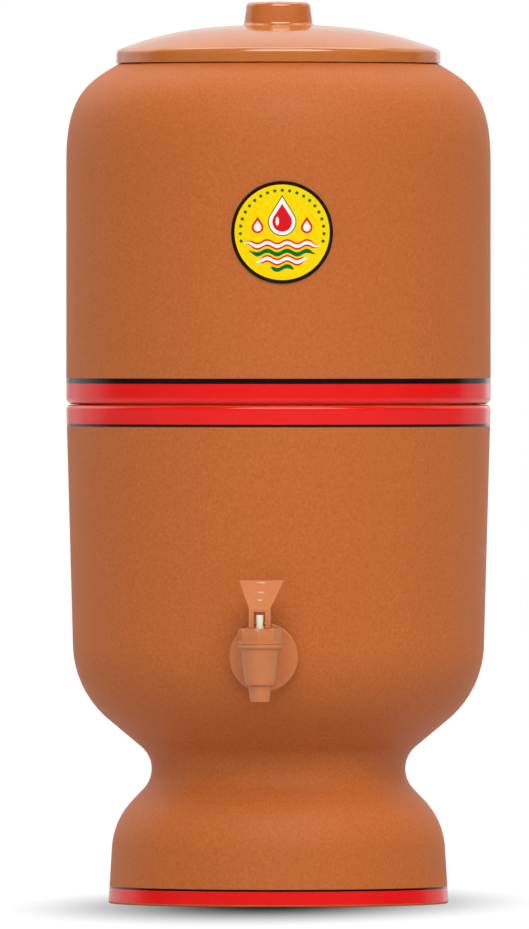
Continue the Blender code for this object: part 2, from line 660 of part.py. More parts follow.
def make_float_valve(assembly, plastic, float_plastic, rubber, steel):
    foot = FLOAT_VALVE_FOOT
    socket = foot + FLOAT_VALVE_HEIGHT - FLOAT_VALVE_SOCKET
    arm_top = foot - 2 * GAP - FLOAT_PAD_THICKNESS
    pivot_height = arm_top - FLOAT_ARM_THICKNESS / 2
    lug_inner = FLOAT_ARM_WIDTH / 2 + GAP
    lug_outer = lug_inner + FLOAT_LUG_THICKNESS
    pin_hole = FLOAT_PIN_RADIUS + GAP
    valve = rounded([
        (FLOAT_OUTLET_RADIUS, foot),
        (FLOAT_VALVE_RADIUS, foot),
        (FLOAT_VALVE_RADIUS, foot + FLOAT_VALVE_HEIGHT),
        (CANDLE_STEM_RADIUS + GAP, foot + FLOAT_VALVE_HEIGHT),
        (CANDLE_STEM_RADIUS + GAP, socket),
        (FLOAT_OUTLET_RADIUS, socket),
    ])
    body = make_piece("float_valve_body", spun(valve, SMALL_SIDES, closed=True), assembly, (plastic,))
    pin_axis = make_empty("float_pin_axis", assembly, (-FLOAT_SETBACK, 0, pivot_height))
    for side in (-1, 1):
        inner, outer = sorted((side * lug_inner, side * lug_outer))
        lug = boxed((-FLOAT_LUG_REACH, inner, -FLOAT_LUG_REACH),
                    (FLOAT_LUG_REACH, outer, foot + FLOAT_LUG_REACH - pivot_height))
        combine(body, "UNION", f"float_lug_{'left' if side < 0 else 'right'}", lug, pin_axis)
    holes = rod(pin_hole, -lug_outer - OVERCUT, lug_outer + OVERCUT, SMALL_SIDES)
    combine(body, "DIFFERENCE", "float_lug_holes", holes, pin_axis, (0, 0, 0), ALONG_Y)
    pin = rod(FLOAT_PIN_RADIUS, -lug_outer, lug_outer, SMALL_SIDES)
    make_piece("float_pin", pin, pin_axis, (steel,), (0, 0, 0), ALONG_Y)

    pivot = make_empty("float_pivot", assembly, (-FLOAT_SETBACK, 0, pivot_height), (0, FLOAT_DROP, 0))
    half = FLOAT_ARM_THICKNESS / 2
    arm = make_piece("float_arm",
                     boxed((-FLOAT_ARM_TAIL, -FLOAT_ARM_WIDTH / 2, -half),
                           (FLOAT_ARM_REACH + FLOAT_ARM_TAIL, FLOAT_ARM_WIDTH / 2, half)),
                     pivot, (plastic,))
    combine(arm, "DIFFERENCE", "float_arm_hole",
            rod(pin_hole, -FLOAT_ARM_WIDTH, FLOAT_ARM_WIDTH, SMALL_SIDES), None, (0, 0, 0), ALONG_Y)
    combine(arm, "UNION", "float_arm_stud",
            rod(FLOAT_STUD_RADIUS, -half - FLOAT_STUD_LENGTH, 0, SMALL_SIDES), None, (FLOAT_ARM_REACH, 0, 0))
    top = -half - GAP
    stud_hole = top - FLOAT_STUD_LENGTH
    shape = rounded([
        (0, stud_hole),
        (FLOAT_STUD_RADIUS + GAP, stud_hole),
        (FLOAT_STUD_RADIUS + GAP, top),
        (FLOAT_RADIUS, top, FLOAT_FILLET),
        (FLOAT_RADIUS, top - FLOAT_HEIGHT, FLOAT_FILLET),
        (0, top - FLOAT_HEIGHT),
    ])
    make_piece("float", spun(shape, CANDLE_SIDES), pivot, (float_plastic,), (FLOAT_ARM_REACH, 0, 0))
    pad_foot = half + GAP
    pad = rod(FLOAT_OUTLET_RADIUS + FLOAT_PAD_LAP, pad_foot, pad_foot + FLOAT_PAD_THICKNESS, SMALL_SIDES)
    make_piece("valve_pad", pad, pivot, (rubber,), (FLOAT_SETBACK, 0, 0))


# Tap: on tap_axis, Z is the distance in front of the chamber's axis

def tap_stations():
    """Where the tap's parts lie along its shank: nut, washer, gasket, flange and barrel."""
    outside = rounded(lower_corners())
    inside = rounded(lower_cavity_corners())
    gasket_face = max(crossing(outside, 1, TAP_HEIGHT + GASKET_RADIUS).x,
                      crossing(outside, 1, TAP_HEIGHT).x) + 2 * GAP + GASKET_LEAST
    narrowest = min(crossing(inside, 1, TAP_HEIGHT - WASHER_RADIUS).x,
                    crossing(inside, 1, TAP_HEIGHT + WASHER_RADIUS).x)
    washer_face = math.sqrt(narrowest ** 2 - WASHER_RADIUS ** 2) - GAP - WASHER_LEAST
    return {
        "barrel": crossing(outside, 1, TAP_HEIGHT).x + TAP_STANDOFF,
        "flange": gasket_face + GAP,
        "gasket": gasket_face,
        "washer": washer_face,
        "nut": washer_face - GAP - SHANK_NUT_THICKNESS,
        "shank": washer_face - GAP - SHANK_NUT_THICKNESS - SHANK_SPARE,
    }


def make_tap_body(tap_axis, barrel_axis, stations, plastic):
    barrel = rounded([
        (0, NOZZLE_TIP),
        (NOZZLE_TIP_RADIUS, NOZZLE_TIP),
        (NOZZLE_TOP_RADIUS, -BARREL_BELOW_SHANK),
        (BARREL_FOOT_RADIUS, -BARREL_BELOW_SHANK, BARREL_FOOT_FILLET),
        (BARREL_TOP_RADIUS, BARREL_ABOVE_SHANK),
        (COLLAR_RADIUS, BARREL_ABOVE_SHANK),
        (COLLAR_RADIUS, COLLAR_TOP),
        (0, COLLAR_TOP),
    ])
    body = make_piece("spigot_body", spun(barrel, FITTING_SIDES), barrel_axis, (plastic,))
    flange_front = stations["flange"] + FLANGE_THICKNESS
    shank = rounded([
        (0, stations["shank"]),
        (SHANK_RADIUS, stations["shank"]),
        (SHANK_RADIUS, stations["flange"]),
        (FLANGE_RADIUS, stations["flange"]),
        (FLANGE_RADIUS, flange_front, FLANGE_FILLET),
        (NECK_RADIUS, flange_front),
        (NECK_RADIUS, stations["barrel"] - BARREL_BORE / 2),
        (0, stations["barrel"] - BARREL_BORE / 2),
    ])
    combine(body, "UNION", "shank_and_flange", spun(shank, FITTING_SIDES), tap_axis)
    bore = [
        (0, NOZZLE_TIP - OVERCUT),
        (NOZZLE_BORE, NOZZLE_TIP - OVERCUT),
        (NOZZLE_BORE, SEAT),
        (BARREL_BORE, SEAT),
        (BARREL_BORE, COLLAR_TOP + OVERCUT),
        (0, COLLAR_TOP + OVERCUT),
    ]
    combine(body, "DIFFERENCE", "barrel_bore", spun(bore, FITTING_SIDES))
    channel = rod(CHANNEL_RADIUS, stations["shank"] - OVERCUT, stations["barrel"], SMALL_SIDES)
    combine(body, "DIFFERENCE", "shank_channel", channel, tap_axis)


def make_tap_seals(tap_axis, assembly, stations, rubber):
    bore = SHANK_RADIUS + GAP
    outside = shifted(rounded(lower_corners()), -GAP)
    gasket = make_piece("outer_gasket",
                        ring(bore, GASKET_RADIUS, WAIST_RADIUS, stations["gasket"], FITTING_SIDES),
                        tap_axis, (rubber,))
    wall = [(0, outside[0].y)] + outside + [(0, outside[-1].y)]
    combine(gasket, "DIFFERENCE", "gasket_wall", spun(wall, VESSEL_SIDES), assembly)

    inside = shifted(rounded(lower_cavity_corners()), -GAP)
    washer = make_piece("inner_washer",
                        ring(bore, WASHER_RADIUS, stations["washer"], BODY_RADIUS, FITTING_SIDES),
                        tap_axis, (rubber,))
    cavity = [(0, inside[0].y)] + inside[:-1] + [(0, inside[-1].y)]
    combine(washer, "INTERSECT", "washer_wall", spun(cavity, VESSEL_SIDES), assembly)


def make_shank_nut(tap_axis, stations, plastic):
    start = stations["nut"]
    end = start + SHANK_NUT_THICKNESS
    blank = ring(SHANK_RADIUS + GAP, SHANK_NUT_RADIUS, start, end, FITTING_SIDES)
    nut = make_piece("shank_nut", blank, tap_axis, (plastic,))
    flats = flats_cutter(SHANK_NUT_SIDES, SHANK_NUT_RADIUS, start - OVERCUT, end + OVERCUT)
    combine(nut, "DIFFERENCE", "shank_nut_flats", flats)


def make_bonnet(barrel_axis, plastic):
    bore = STEM_RADIUS + GAP
    plug_foot = BONNET_FOOT - BONNET_PLUG_DEPTH
    head_foot = BONNET_FOOT + BONNET_COLLAR_HEIGHT
    corner = COLLAR_RADIUS - BONNET_CORNER_INSET
    outline = [
        (bore, plug_foot),
        (BARREL_BORE - GAP, plug_foot),
        (BARREL_BORE - GAP, BONNET_FOOT),
        (COLLAR_RADIUS, BONNET_FOOT),
        (COLLAR_RADIUS, BONNET_TOP - BONNET_CHAMFER),
        (COLLAR_RADIUS - BONNET_CHAMFER, BONNET_TOP),
        (bore, BONNET_TOP),
    ]
    bonnet = make_piece("bonnet", spun(outline, FITTING_SIDES, closed=True), barrel_axis, (plastic,))
    flats = flats_cutter(BONNET_SIDES, corner, head_foot, BONNET_TOP + OVERCUT)
    combine(bonnet, "DIFFERENCE", "bonnet_flats", flats, None, (0, 0, 0), (0, 0, BONNET_TURN))


def make_valve(barrel_axis, stem_plastic, silicone, steel):
    cup_foot = SEAT + GAP
    cup_top = cup_foot + CUP_HEIGHT
    stem_foot = cup_top - STEM_IN_CUP + GAP
    skirt_top = cup_foot + CUP_SKIRT
    neck = STEM_RADIUS + GAP + CUP_NECK_WALL
    cup_radius = BARREL_BORE - CUP_CLEARANCE
    cup = [
        (0, cup_foot),
        (cup_radius, cup_foot),
        (cup_radius, skirt_top),
        (neck, skirt_top + cup_radius - neck),
        (neck, cup_top),
        (STEM_RADIUS + GAP, cup_top),
        (STEM_RADIUS + GAP, cup_top - STEM_IN_CUP),
        (0, cup_top - STEM_IN_CUP),
    ]
    make_piece("seat_cup", spun(cup, SMALL_SIDES), barrel_axis, (silicone,))
    stem = make_piece("valve_stem", rod(STEM_RADIUS, stem_foot, PIN_HEIGHT + STEM_ABOVE_PIN, SMALL_SIDES),
                      barrel_axis, (stem_plastic,))
    hole = rod(PIN_RADIUS + GAP, -STEM_RADIUS - OVERCUT, STEM_RADIUS + OVERCUT, SMALL_SIDES)
    combine(stem, "DIFFERENCE", "stem_pin_hole", hole, None, (0, 0, PIN_HEIGHT), ALONG_X)
    make_piece("lever_pin", rod(PIN_RADIUS, -LEVER_WIDTH / 2, LEVER_WIDTH / 2, SMALL_SIDES),
               barrel_axis, (steel,), (0, 0, PIN_HEIGHT), ALONG_X)


def make_lever(lever_pivot, plastic):
    """The side view and the front view are drawn from the pin, and the lever is what both share."""
    back = Vector((-math.sin(TAB_LEAN), math.cos(TAB_LEAN)))
    under = Vector((-math.cos(TAB_LEAN), -math.sin(TAB_LEAN)))
    crease = Vector((LEVER_CREASE_FRONT, LEVER_CREASE))
    tip = crease + back * TAB_RISE / back.y
    tip_under = tip + under * TAB_THICKNESS
    neck = at_height(tip_under, crease + under * TAB_THICKNESS, LEVER_NECK_HEIGHT)
    side_view = rounded([
        (LEVER_FOOT_FRONT, -LEVER_FOOT_DEPTH, LEVER_SOFTENING),
        (*crease, LEVER_SOFTENING),
        (*tip, LEVER_SOFTENING),
        (*tip_under, LEVER_SOFTENING),
        (*neck, 2 * LEVER_SOFTENING),
        (-LEVER_FOOT_REAR, 0, 2 * LEVER_SOFTENING),
        (-LEVER_FOOT_REAR, -LEVER_FOOT_DEPTH),
    ], closed=True)
    lever = make_piece("lever", extruded(side_view, -TAB_WIDTH, TAB_WIDTH), lever_pivot, (plastic,),
                       (0, 0, 0), SIDE_VIEW)
    leg = LEVER_WIDTH / 2
    tab = TAB_WIDTH / 2
    front_view = rounded([
        (-leg, -LEVER_FOOT_DEPTH - OVERCUT),
        (leg, -LEVER_FOOT_DEPTH - OVERCUT),
        (leg, LEVER_CREASE, TAB_CORNER),
        (tab, tip.y, TAB_CORNER),
        (-tab, tip.y, TAB_CORNER),
        (-leg, LEVER_CREASE, TAB_CORNER),
    ], closed=True)
    depth = TAB_RISE + LEVER_FOOT_REAR + OVERCUT
    combine(lever, "INTERSECT", "lever_front_view", extruded(front_view, -depth, depth), None,
            (0, 0, 0), ALONG_Y)
    slot = boxed((-LEVER_SLOT / 2, -depth, -LEVER_FOOT_DEPTH - OVERCUT),
                 (LEVER_SLOT / 2, depth, LEVER_SLOT_TOP))
    combine(lever, "DIFFERENCE", "lever_slot", slot)
    hole = rod(PIN_RADIUS + GAP, -leg - OVERCUT, leg + OVERCUT, SMALL_SIDES)
    combine(lever, "DIFFERENCE", "lever_pin_hole", hole, None, (0, 0, 0), ALONG_X)


def main():
    for thing in list(bpy.data.objects):
        bpy.data.objects.remove(thing, do_unlink=True)

    clay = make_material("clay", (193, 109, 58), 0.62)
    red = make_material("red_enamel", (220, 30, 27), 0.25)
    black = make_material("black_enamel", (24, 12, 12), 0.3)
    lid_plastic = make_material("lid_plastic", (206, 112, 58), 0.22)
    tap_plastic = make_material("tap_plastic", (200, 118, 70), 0.4)
    paper = make_material("label_paper", (250, 210, 10), 0.45)
    white_plastic = make_material("white_plastic", (228, 226, 205), 0.45)
    ceramic = make_material("candle_ceramic", (238, 234, 224), 0.85)
    carbon = make_material("carbon", (30, 30, 32), 0.9)
    rubber = make_material("rubber", (40, 40, 42), 0.8)
    silicone = make_material("silicone", (226, 222, 214), 0.6)
    steel = make_material("steel", (190, 190, 194), 0.3, 1.0)

    stations = tap_stations()
    front_reach = stations["barrel"] + COLLAR_RADIUS
    assembly = make_empty("filter_axis", None, (0, (front_reach - BODY_RADIUS) / 2, 0))
    tap_axis = make_empty("tap_axis", assembly, (0, 0, TAP_HEIGHT), ALONG_Y)
    barrel_axis = make_empty("barrel_axis", assembly, (0, -stations["barrel"], TAP_HEIGHT))
    lever_pivot = make_empty("lever_pivot", barrel_axis, (0, 0, PIN_HEIGHT))

    make_lower_chamber(assembly, tap_axis, clay, red, black)
    make_upper_chamber(assembly, clay, red, black)
    make_lid(assembly, lid_plastic)
    make_label(assembly, paper)
    make_candle(assembly, white_plastic, ceramic, carbon, rubber)
    make_candle_nut(assembly, white_plastic)
    make_float_valve(assembly, white_plastic, white_plastic, rubber, steel)
    make_tap_body(tap_axis, barrel_axis, stations, tap_plastic)
    make_tap_seals(tap_axis, assembly, stations, rubber)
    make_shank_nut(tap_axis, stations, tap_plastic)
    make_bonnet(barrel_axis, tap_plastic)
    make_valve(barrel_axis, white_plastic, silicone, steel)
    make_lever(lever_pivot, tap_plastic)


main()
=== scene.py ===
# Clay water filter: two stacked chambers, a glossy lid, the candle inside and the push tap in front.
# Metres, +Z up. The tap faces -Y and the foot stands on z = 0.

import math

import bmesh
import bpy
from mathutils import Matrix, Vector
from mathutils.geometry import interpolate_bezier


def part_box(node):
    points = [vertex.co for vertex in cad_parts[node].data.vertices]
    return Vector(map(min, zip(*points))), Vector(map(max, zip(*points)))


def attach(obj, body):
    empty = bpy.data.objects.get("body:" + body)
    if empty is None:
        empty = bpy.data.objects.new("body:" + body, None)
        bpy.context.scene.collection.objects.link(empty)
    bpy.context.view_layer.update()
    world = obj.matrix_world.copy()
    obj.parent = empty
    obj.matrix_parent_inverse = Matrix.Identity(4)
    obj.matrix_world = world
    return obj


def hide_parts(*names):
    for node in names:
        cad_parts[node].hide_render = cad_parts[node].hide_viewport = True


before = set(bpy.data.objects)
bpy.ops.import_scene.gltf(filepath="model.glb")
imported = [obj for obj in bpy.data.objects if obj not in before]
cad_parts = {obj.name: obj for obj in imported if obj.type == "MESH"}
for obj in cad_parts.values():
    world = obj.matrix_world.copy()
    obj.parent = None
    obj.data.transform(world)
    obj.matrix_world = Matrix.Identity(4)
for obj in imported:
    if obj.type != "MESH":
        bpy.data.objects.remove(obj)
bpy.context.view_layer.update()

gap = 0.0003  # between pieces that touch
overcut = 0.004  # how far a cutter runs on past what it cuts
chordError = 0.00001  # how far a round's flats may stand off its true curve
longestRun = 0.010  # straight stretches longer than this are divided
filletShare = 0.49  # the most of a straight that a fillet at its end takes up
holdOff = 0.0003  # a point this far from each fillet keeps the straight beside it flat
shortestHeld = 4 * holdOff  # shorter straights get no such points
sameSpot = 0.000002  # points nearer to each other than this are merged
onPlane = 0.0000005  # points nearer to a cutting plane than this lie on it
flatTurn = math.radians(0.5)  # faces that turn less than this are merged before edges are softened
vesselSides = 192  # how many sides a turned shape has, as in the next three
barrelSides = 96
fittingSides = 72
pinSides = 32
alongX = Matrix.Rotation(math.radians(90), 4, "Y")  # lays down what was turned about the Z axis
alongY = Matrix.Rotation(math.radians(90), 4, "X")


# Where things are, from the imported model

def sizeOf(node):
    low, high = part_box(node)
    return high - low


def middleOf(node):
    low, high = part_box(node)
    return (low + high) / 2


lowerLow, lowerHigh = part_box("lower_chamber")
axis = Vector((0, (lowerLow.y + lowerHigh.y) / 2, 0))  # the chambers' upright axis
seam = lowerHigh.z + gap
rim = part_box("upper_chamber")[1].z
bodyRadius = sizeOf("upper_chamber").x / 2
barrel = Vector((0, middleOf("bonnet").y, middleOf("spigot_body").z))  # on the barrel's axis
shankHeight = middleOf("shank_nut").z


# Outlines and meshes

def rounding(before, corner, after, fillet):
    toBefore = (before - corner).normalized()
    toAfter = (after - corner).normalized()
    half = toBefore.angle(toAfter) / 2
    shorter = min((before - corner).length, (after - corner).length)
    reach = min(fillet / math.tan(half), filletShare * shorter)
    radius = reach * math.tan(half)
    centre = corner + (toBefore + toAfter).normalized() * radius / math.sin(half)
    return corner + toBefore * reach, corner + toAfter * reach, centre, radius


# A corner is (distance from the axis, height) or (distance, height, fillet). Each fillet is spun
# about its own centre, so that it is a true arc, and long straight stretches are divided.
def drawOutline(shape, corners, closed=False):
    points = [Vector((corner[0], 0, corner[1])) for corner in corners]
    ends = []
    for index, corner in enumerate(corners):
        isEnd = not closed and index in (0, len(corners) - 1)
        if isEnd or len(corner) == 2 or not corner[2]:
            vert = shape.verts.new(points[index])
            ends.append((vert, vert))
            continue
        before = points[index - 1]
        after = points[(index + 1) % len(points)]
        start, end, centre, radius = rounding(before, points[index], after, corner[2])
        turnAxis = (start - centre).cross(end - centre).normalized()
        sweep = (start - centre).angle(end - centre)
        steps = max(2, math.ceil(sweep / (2 * math.acos(1 - min(chordError / radius, 1)))))
        vert = shape.verts.new(start)
        made = bmesh.ops.spin(shape, geom=[vert], cent=centre, axis=turnAxis, angle=sweep, steps=steps)
        last = [item for item in made["geom_last"] if isinstance(item, bmesh.types.BMVert)][0]
        ends.append((vert, last))
    following = ends[1:] + ends[:1] if closed else ends[1:]
    for (filletStart, leave), (enter, filletEnd) in zip(ends, following):
        run = [leave, enter]
        span = enter.co - leave.co
        if span.length > shortestHeld:
            if filletStart != leave:
                run.insert(1, shape.verts.new(leave.co + span.normalized() * holdOff))
            if filletEnd != enter:
                run.insert(-1, shape.verts.new(enter.co - span.normalized() * holdOff))
        for pair in zip(run, run[1:]):
            shape.edges.new(pair)
    while longest := [edge for edge in shape.edges if edge.calc_length() > longestRun]:
        bmesh.ops.subdivide_edges(shape, edges=longest, cuts=1)


def turned(corners, sides=fittingSides, closed=False):
    shape = bmesh.new()
    drawOutline(shape, corners, closed)
    bmesh.ops.spin(shape, geom=shape.verts[:] + shape.edges[:], cent=(0, 0, 0), axis=(0, 0, 1),
                   angle=math.tau, steps=sides, use_merge=True)
    return tidy(shape)


def tidy(shape):
    bmesh.ops.remove_doubles(shape, verts=shape.verts, dist=sameSpot)
    bmesh.ops.recalc_face_normals(shape, faces=shape.faces)
    return shape


def rod(radius, start, end, softness=0, sides=fittingSides):
    return turned([(0, start), (radius, start, softness), (radius, end, softness), (0, end)], sides)


def ring(inner, outer, start, end, softness=0, sides=fittingSides):
    corners = [(inner, start), (outer, start), (outer, end), (inner, end)]
    return turned([(*corner, softness) for corner in corners], sides, closed=True)


# Extrudes a flat outline, given in X and Y, from one height to another.
def extruded(points, start, end):
    shape = bmesh.new()
    face = shape.faces.new([shape.verts.new((x, y, start)) for x, y in points])
    grown = bmesh.ops.extrude_face_region(shape, geom=[face])["geom"]
    top = [item for item in grown if isinstance(item, bmesh.types.BMVert)]
    bmesh.ops.translate(shape, vec=(0, 0, end - start), verts=top)
    return tidy(shape)


def block(low, high):
    shape = bmesh.new()
    bmesh.ops.create_cube(shape, size=1)
    bmesh.ops.scale(shape, vec=Vector(high) - Vector(low), verts=shape.verts)
    bmesh.ops.translate(shape, vec=(Vector(high) + Vector(low)) / 2, verts=shape.verts)
    return tidy(shape)


def placed(shape, matrix):
    bmesh.ops.transform(shape, matrix=matrix, verts=shape.verts)
    return shape


def addTo(shape, other):
    spare = bpy.data.meshes.new("spare")
    other.to_mesh(spare)
    other.free()
    shape.from_mesh(spare)
    bpy.data.meshes.remove(spare)
    return shape


# Cuts one shape by another, joins them, or keeps what they share.
def combined(shape, other, operation):
    halves = []
    for part in (shape, other):
        mesh = bpy.data.meshes.new("half")
        part.to_mesh(mesh)
        part.free()
        half = bpy.data.objects.new("half", mesh)
        bpy.context.scene.collection.objects.link(half)
        halves.append(half)
    change = halves[0].modifiers.new("change", "BOOLEAN")
    change.solver = "EXACT"
    change.operation = operation
    change.object = halves[1]
    result = bmesh.new()
    result.from_object(halves[0], bpy.context.evaluated_depsgraph_get())
    for half in halves:
        bpy.data.meshes.remove(half.data)
    return result


# Rounds the edges that turn more than an angle in degrees.
def soften(shape, width, least=30):
    bmesh.ops.dissolve_limit(shape, angle_limit=flatTurn, verts=shape.verts, edges=shape.edges)
    turn = math.radians(least)
    edges = [edge for edge in shape.edges if edge.is_manifold and edge.calc_face_angle() > turn]
    bmesh.ops.bevel(shape, geom=edges, offset=width, offset_type="OFFSET", affect="EDGES",
                    segments=2, profile=0.5, material=-1, clamp_overlap=True)
    return shape


# Adds edges to a shape where a plane crosses it.
def score(shape, spot, normal):
    bmesh.ops.bisect_plane(shape, geom=shape.verts[:] + shape.edges[:] + shape.faces[:],
                           plane_co=spot, plane_no=normal, dist=onPlane)


# Turns a finished shape into a piece that rides on its body and stands for its CAD node. Edges
# that turn more than an angle in degrees are shaded as sharp.
def makePiece(name, shape, skins, body, node, sharp=32):
    mesh = bpy.data.meshes.new(name)
    shape.to_mesh(mesh)
    shape.free()
    mesh.shade_smooth()
    mesh.set_sharp_from_angle(angle=math.radians(sharp))
    for skin in skins:
        mesh.materials.append(surfaces[skin])
    piece = bpy.data.objects.new(name, mesh)
    bpy.context.scene.collection.objects.link(piece)
    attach(piece, body)
    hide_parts(node)


# Camera: the photograph's long lens, a little to the right of the tap

view = {
    "distance": 14.0,
    "turn": math.radians(4.0),
    "height": 0.358,
    "aimHeight": 0.2631,
    "aimLeft": 0.00837,
    "frameHeight": 0.5574,  # how much of the axis plane the frame's long side takes in
    "sensor": 36.0,
    "clip": (1.0, 60.0),
}


def makeCamera():
    toCamera = Vector((math.sin(view["turn"]), -math.cos(view["turn"]), 0))
    right = Vector((math.cos(view["turn"]), math.sin(view["turn"]), 0))
    data = bpy.data.cameras.new("camera")
    data.sensor_width = view["sensor"]
    data.lens = view["sensor"] * view["distance"] / view["frameHeight"]
    data.clip_start, data.clip_end = view["clip"]
    camera = bpy.data.objects.new("camera", data)
    camera.location = axis + toCamera * view["distance"] + Vector((0, 0, view["height"]))
    aim = axis - right * view["aimLeft"] + Vector((0, 0, view["aimHeight"]))
    camera.rotation_euler = (aim - camera.location).to_track_quat("-Z", "Y").to_euler()
    bpy.context.scene.collection.objects.link(camera)
    bpy.context.scene.camera = camera


makeCamera()
print("camera in place")


# Materials

def tone(red, green, blue):
    scaled = [value / 255 for value in (red, green, blue)]
    return [v / 12.92 if v <= 0.04045 else ((v + 0.055) / 1.055) ** 2.4 for v in scaled] + [1.0]


# A value is either a number or another node's output.
def mathNode(tree, operation, *values):
    node = tree.nodes.new("ShaderNodeMath")
    node.operation = operation
    for socket, value in zip(node.inputs, values):
        if isinstance(value, (int, float)):
            socket.default_value = value
        else:
            tree.links.new(value, socket)
    return node.outputs[0]


# Spreads a value from one range over another, held at its ends.
def ranged(tree, value, start=(0, 1), end=(0, 1), easing="LINEAR"):
    node = tree.nodes.new("ShaderNodeMapRange")
    node.interpolation_type = easing
    for label, limit in zip(("From Min", "From Max", "To Min", "To Max"), (*start, *end)):
        node.inputs[label].default_value = limit
    tree.links.new(value, node.inputs["Value"])
    return node.outputs["Result"]


def noiseNode(tree, coordinates, size, detail, roughness):
    node = tree.nodes.new("ShaderNodeTexNoise")
    node.inputs["Detail"].default_value = detail
    node.inputs["Roughness"].default_value = roughness
    tree.links.new(coordinates, node.inputs["Vector"])
    tree.links.new(size, node.inputs["Scale"])
    return node.outputs["Fac"]


# A node group that takes coordinates and a size and gives plain values
def newGroup(name, *results):
    group = bpy.data.node_groups.new(name, "ShaderNodeTree")
    group.interface.new_socket("Coordinates", in_out="INPUT", socket_type="NodeSocketVector")
    group.interface.new_socket("Size", in_out="INPUT", socket_type="NodeSocketFloat")
    for label in results:
        group.interface.new_socket(label, in_out="OUTPUT", socket_type="NodeSocketFloat")
    start = group.nodes.new("NodeGroupInput")
    return group, start.outputs["Coordinates"], start.outputs["Size"], group.nodes.new("NodeGroupOutput")


# Fine grain, as sand gives clay: a mask of pale and dark grains, and their height
sand = {
    "fineDetail": 2.0, "fineRoughness": 0.6, "fineShare": 0.65,
    "coarseDetail": 1.0, "coarseRoughness": 0.5, "coarseShare": 0.35, "coarseScale": 0.31,
    "spread": (0.32, 0.68),
}


def makeGrainGroup():
    group, coordinates, size, end = newGroup("fineGrain", "Grains", "Height")
    fine = noiseNode(group, coordinates, size, sand["fineDetail"], sand["fineRoughness"])
    coarseSize = mathNode(group, "MULTIPLY", size, sand["coarseScale"])
    coarse = noiseNode(group, coordinates, coarseSize, sand["coarseDetail"], sand["coarseRoughness"])
    height = mathNode(group, "ADD", mathNode(group, "MULTIPLY", fine, sand["fineShare"]),
                      mathNode(group, "MULTIPLY", coarse, sand["coarseShare"]))
    group.links.new(ranged(group, height, sand["spread"]), end.inputs["Grains"])
    group.links.new(height, end.inputs["Height"])
    return group


# Broad uneven patches, as firing and handling leave them
patchiness = {"detail": 3.0, "roughness": 0.55, "spread": (0.3, 0.7)}


def makePatchGroup():
    group, coordinates, size, end = newGroup("broadPatches", "Patches")
    noise = noiseNode(group, coordinates, size, patchiness["detail"], patchiness["roughness"])
    group.links.new(ranged(group, noise, patchiness["spread"]), end.inputs["Patches"])
    return group


grainGroup = makeGrainGroup()
patchGroup = makePatchGroup()


def placeGroup(tree, group, coordinates, size):
    node = tree.nodes.new("ShaderNodeGroup")
    node.node_tree = group
    node.inputs["Size"].default_value = size
    tree.links.new(coordinates, node.inputs["Coordinates"])
    return node


def mixColour(tree, share, first, second):
    mix = tree.nodes.new("ShaderNodeMix")
    mix.data_type = "RGBA"
    tree.links.new(share, mix.inputs["Factor"])
    colourInputs = [socket for socket in mix.inputs if socket.type == "RGBA"]
    for socket, value in zip(colourInputs, (first, second)):
        if isinstance(value, list):
            socket.default_value = value
        else:
            tree.links.new(value, socket)
    return [socket for socket in mix.outputs if socket.type == "RGBA"][0]


scatterReach = (0.004, 0.003, 0.002)  # how far red, green and blue light run inside the pale plastics


# Every finish is built alike: two close colours mixed by grain, a third by broad patches,
# roughness between two values, led by both alike, and a bump as deep as the real surface's.
def makeFinish(name, finish):
    material = bpy.data.materials.new(name)
    material.use_nodes = True
    tree = material.node_tree
    shader = tree.nodes["Principled BSDF"]
    coordinates = tree.nodes.new("ShaderNodeTexCoord").outputs["Object"]
    grain = placeGroup(tree, grainGroup, coordinates, finish["grainSize"])
    patches = placeGroup(tree, patchGroup, coordinates, finish["patchSize"])
    grained = mixColour(tree, grain.outputs["Grains"], tone(*finish["dark"]), tone(*finish["light"]))
    share = mathNode(tree, "MULTIPLY", patches.outputs["Patches"], finish["patchShare"])
    colour = mixColour(tree, share, grained, tone(*finish["patch"]))
    tree.links.new(colour, shader.inputs["Base Color"])
    wear = mathNode(tree, "ADD", grain.outputs["Grains"], patches.outputs["Patches"])
    tree.links.new(ranged(tree, wear, (0, 2), finish["roughness"]), shader.inputs["Roughness"])
    bump = tree.nodes.new("ShaderNodeBump")
    bump.inputs["Strength"].default_value = finish["bumpStrength"]
    bump.inputs["Distance"].default_value = finish["bumpDepth"]
    tree.links.new(grain.outputs["Height"], bump.inputs["Height"])
    tree.links.new(bump.outputs["Normal"], shader.inputs["Normal"])
    shader.inputs["Metallic"].default_value = finish.get("metallic", 0.0)
    shader.inputs["Specular IOR Level"].default_value = finish.get("specular", 0.5)
    shader.inputs["Subsurface Weight"].default_value = finish.get("subsurface", 0.0)
    shader.inputs["Subsurface Radius"].default_value = scatterReach
    return material


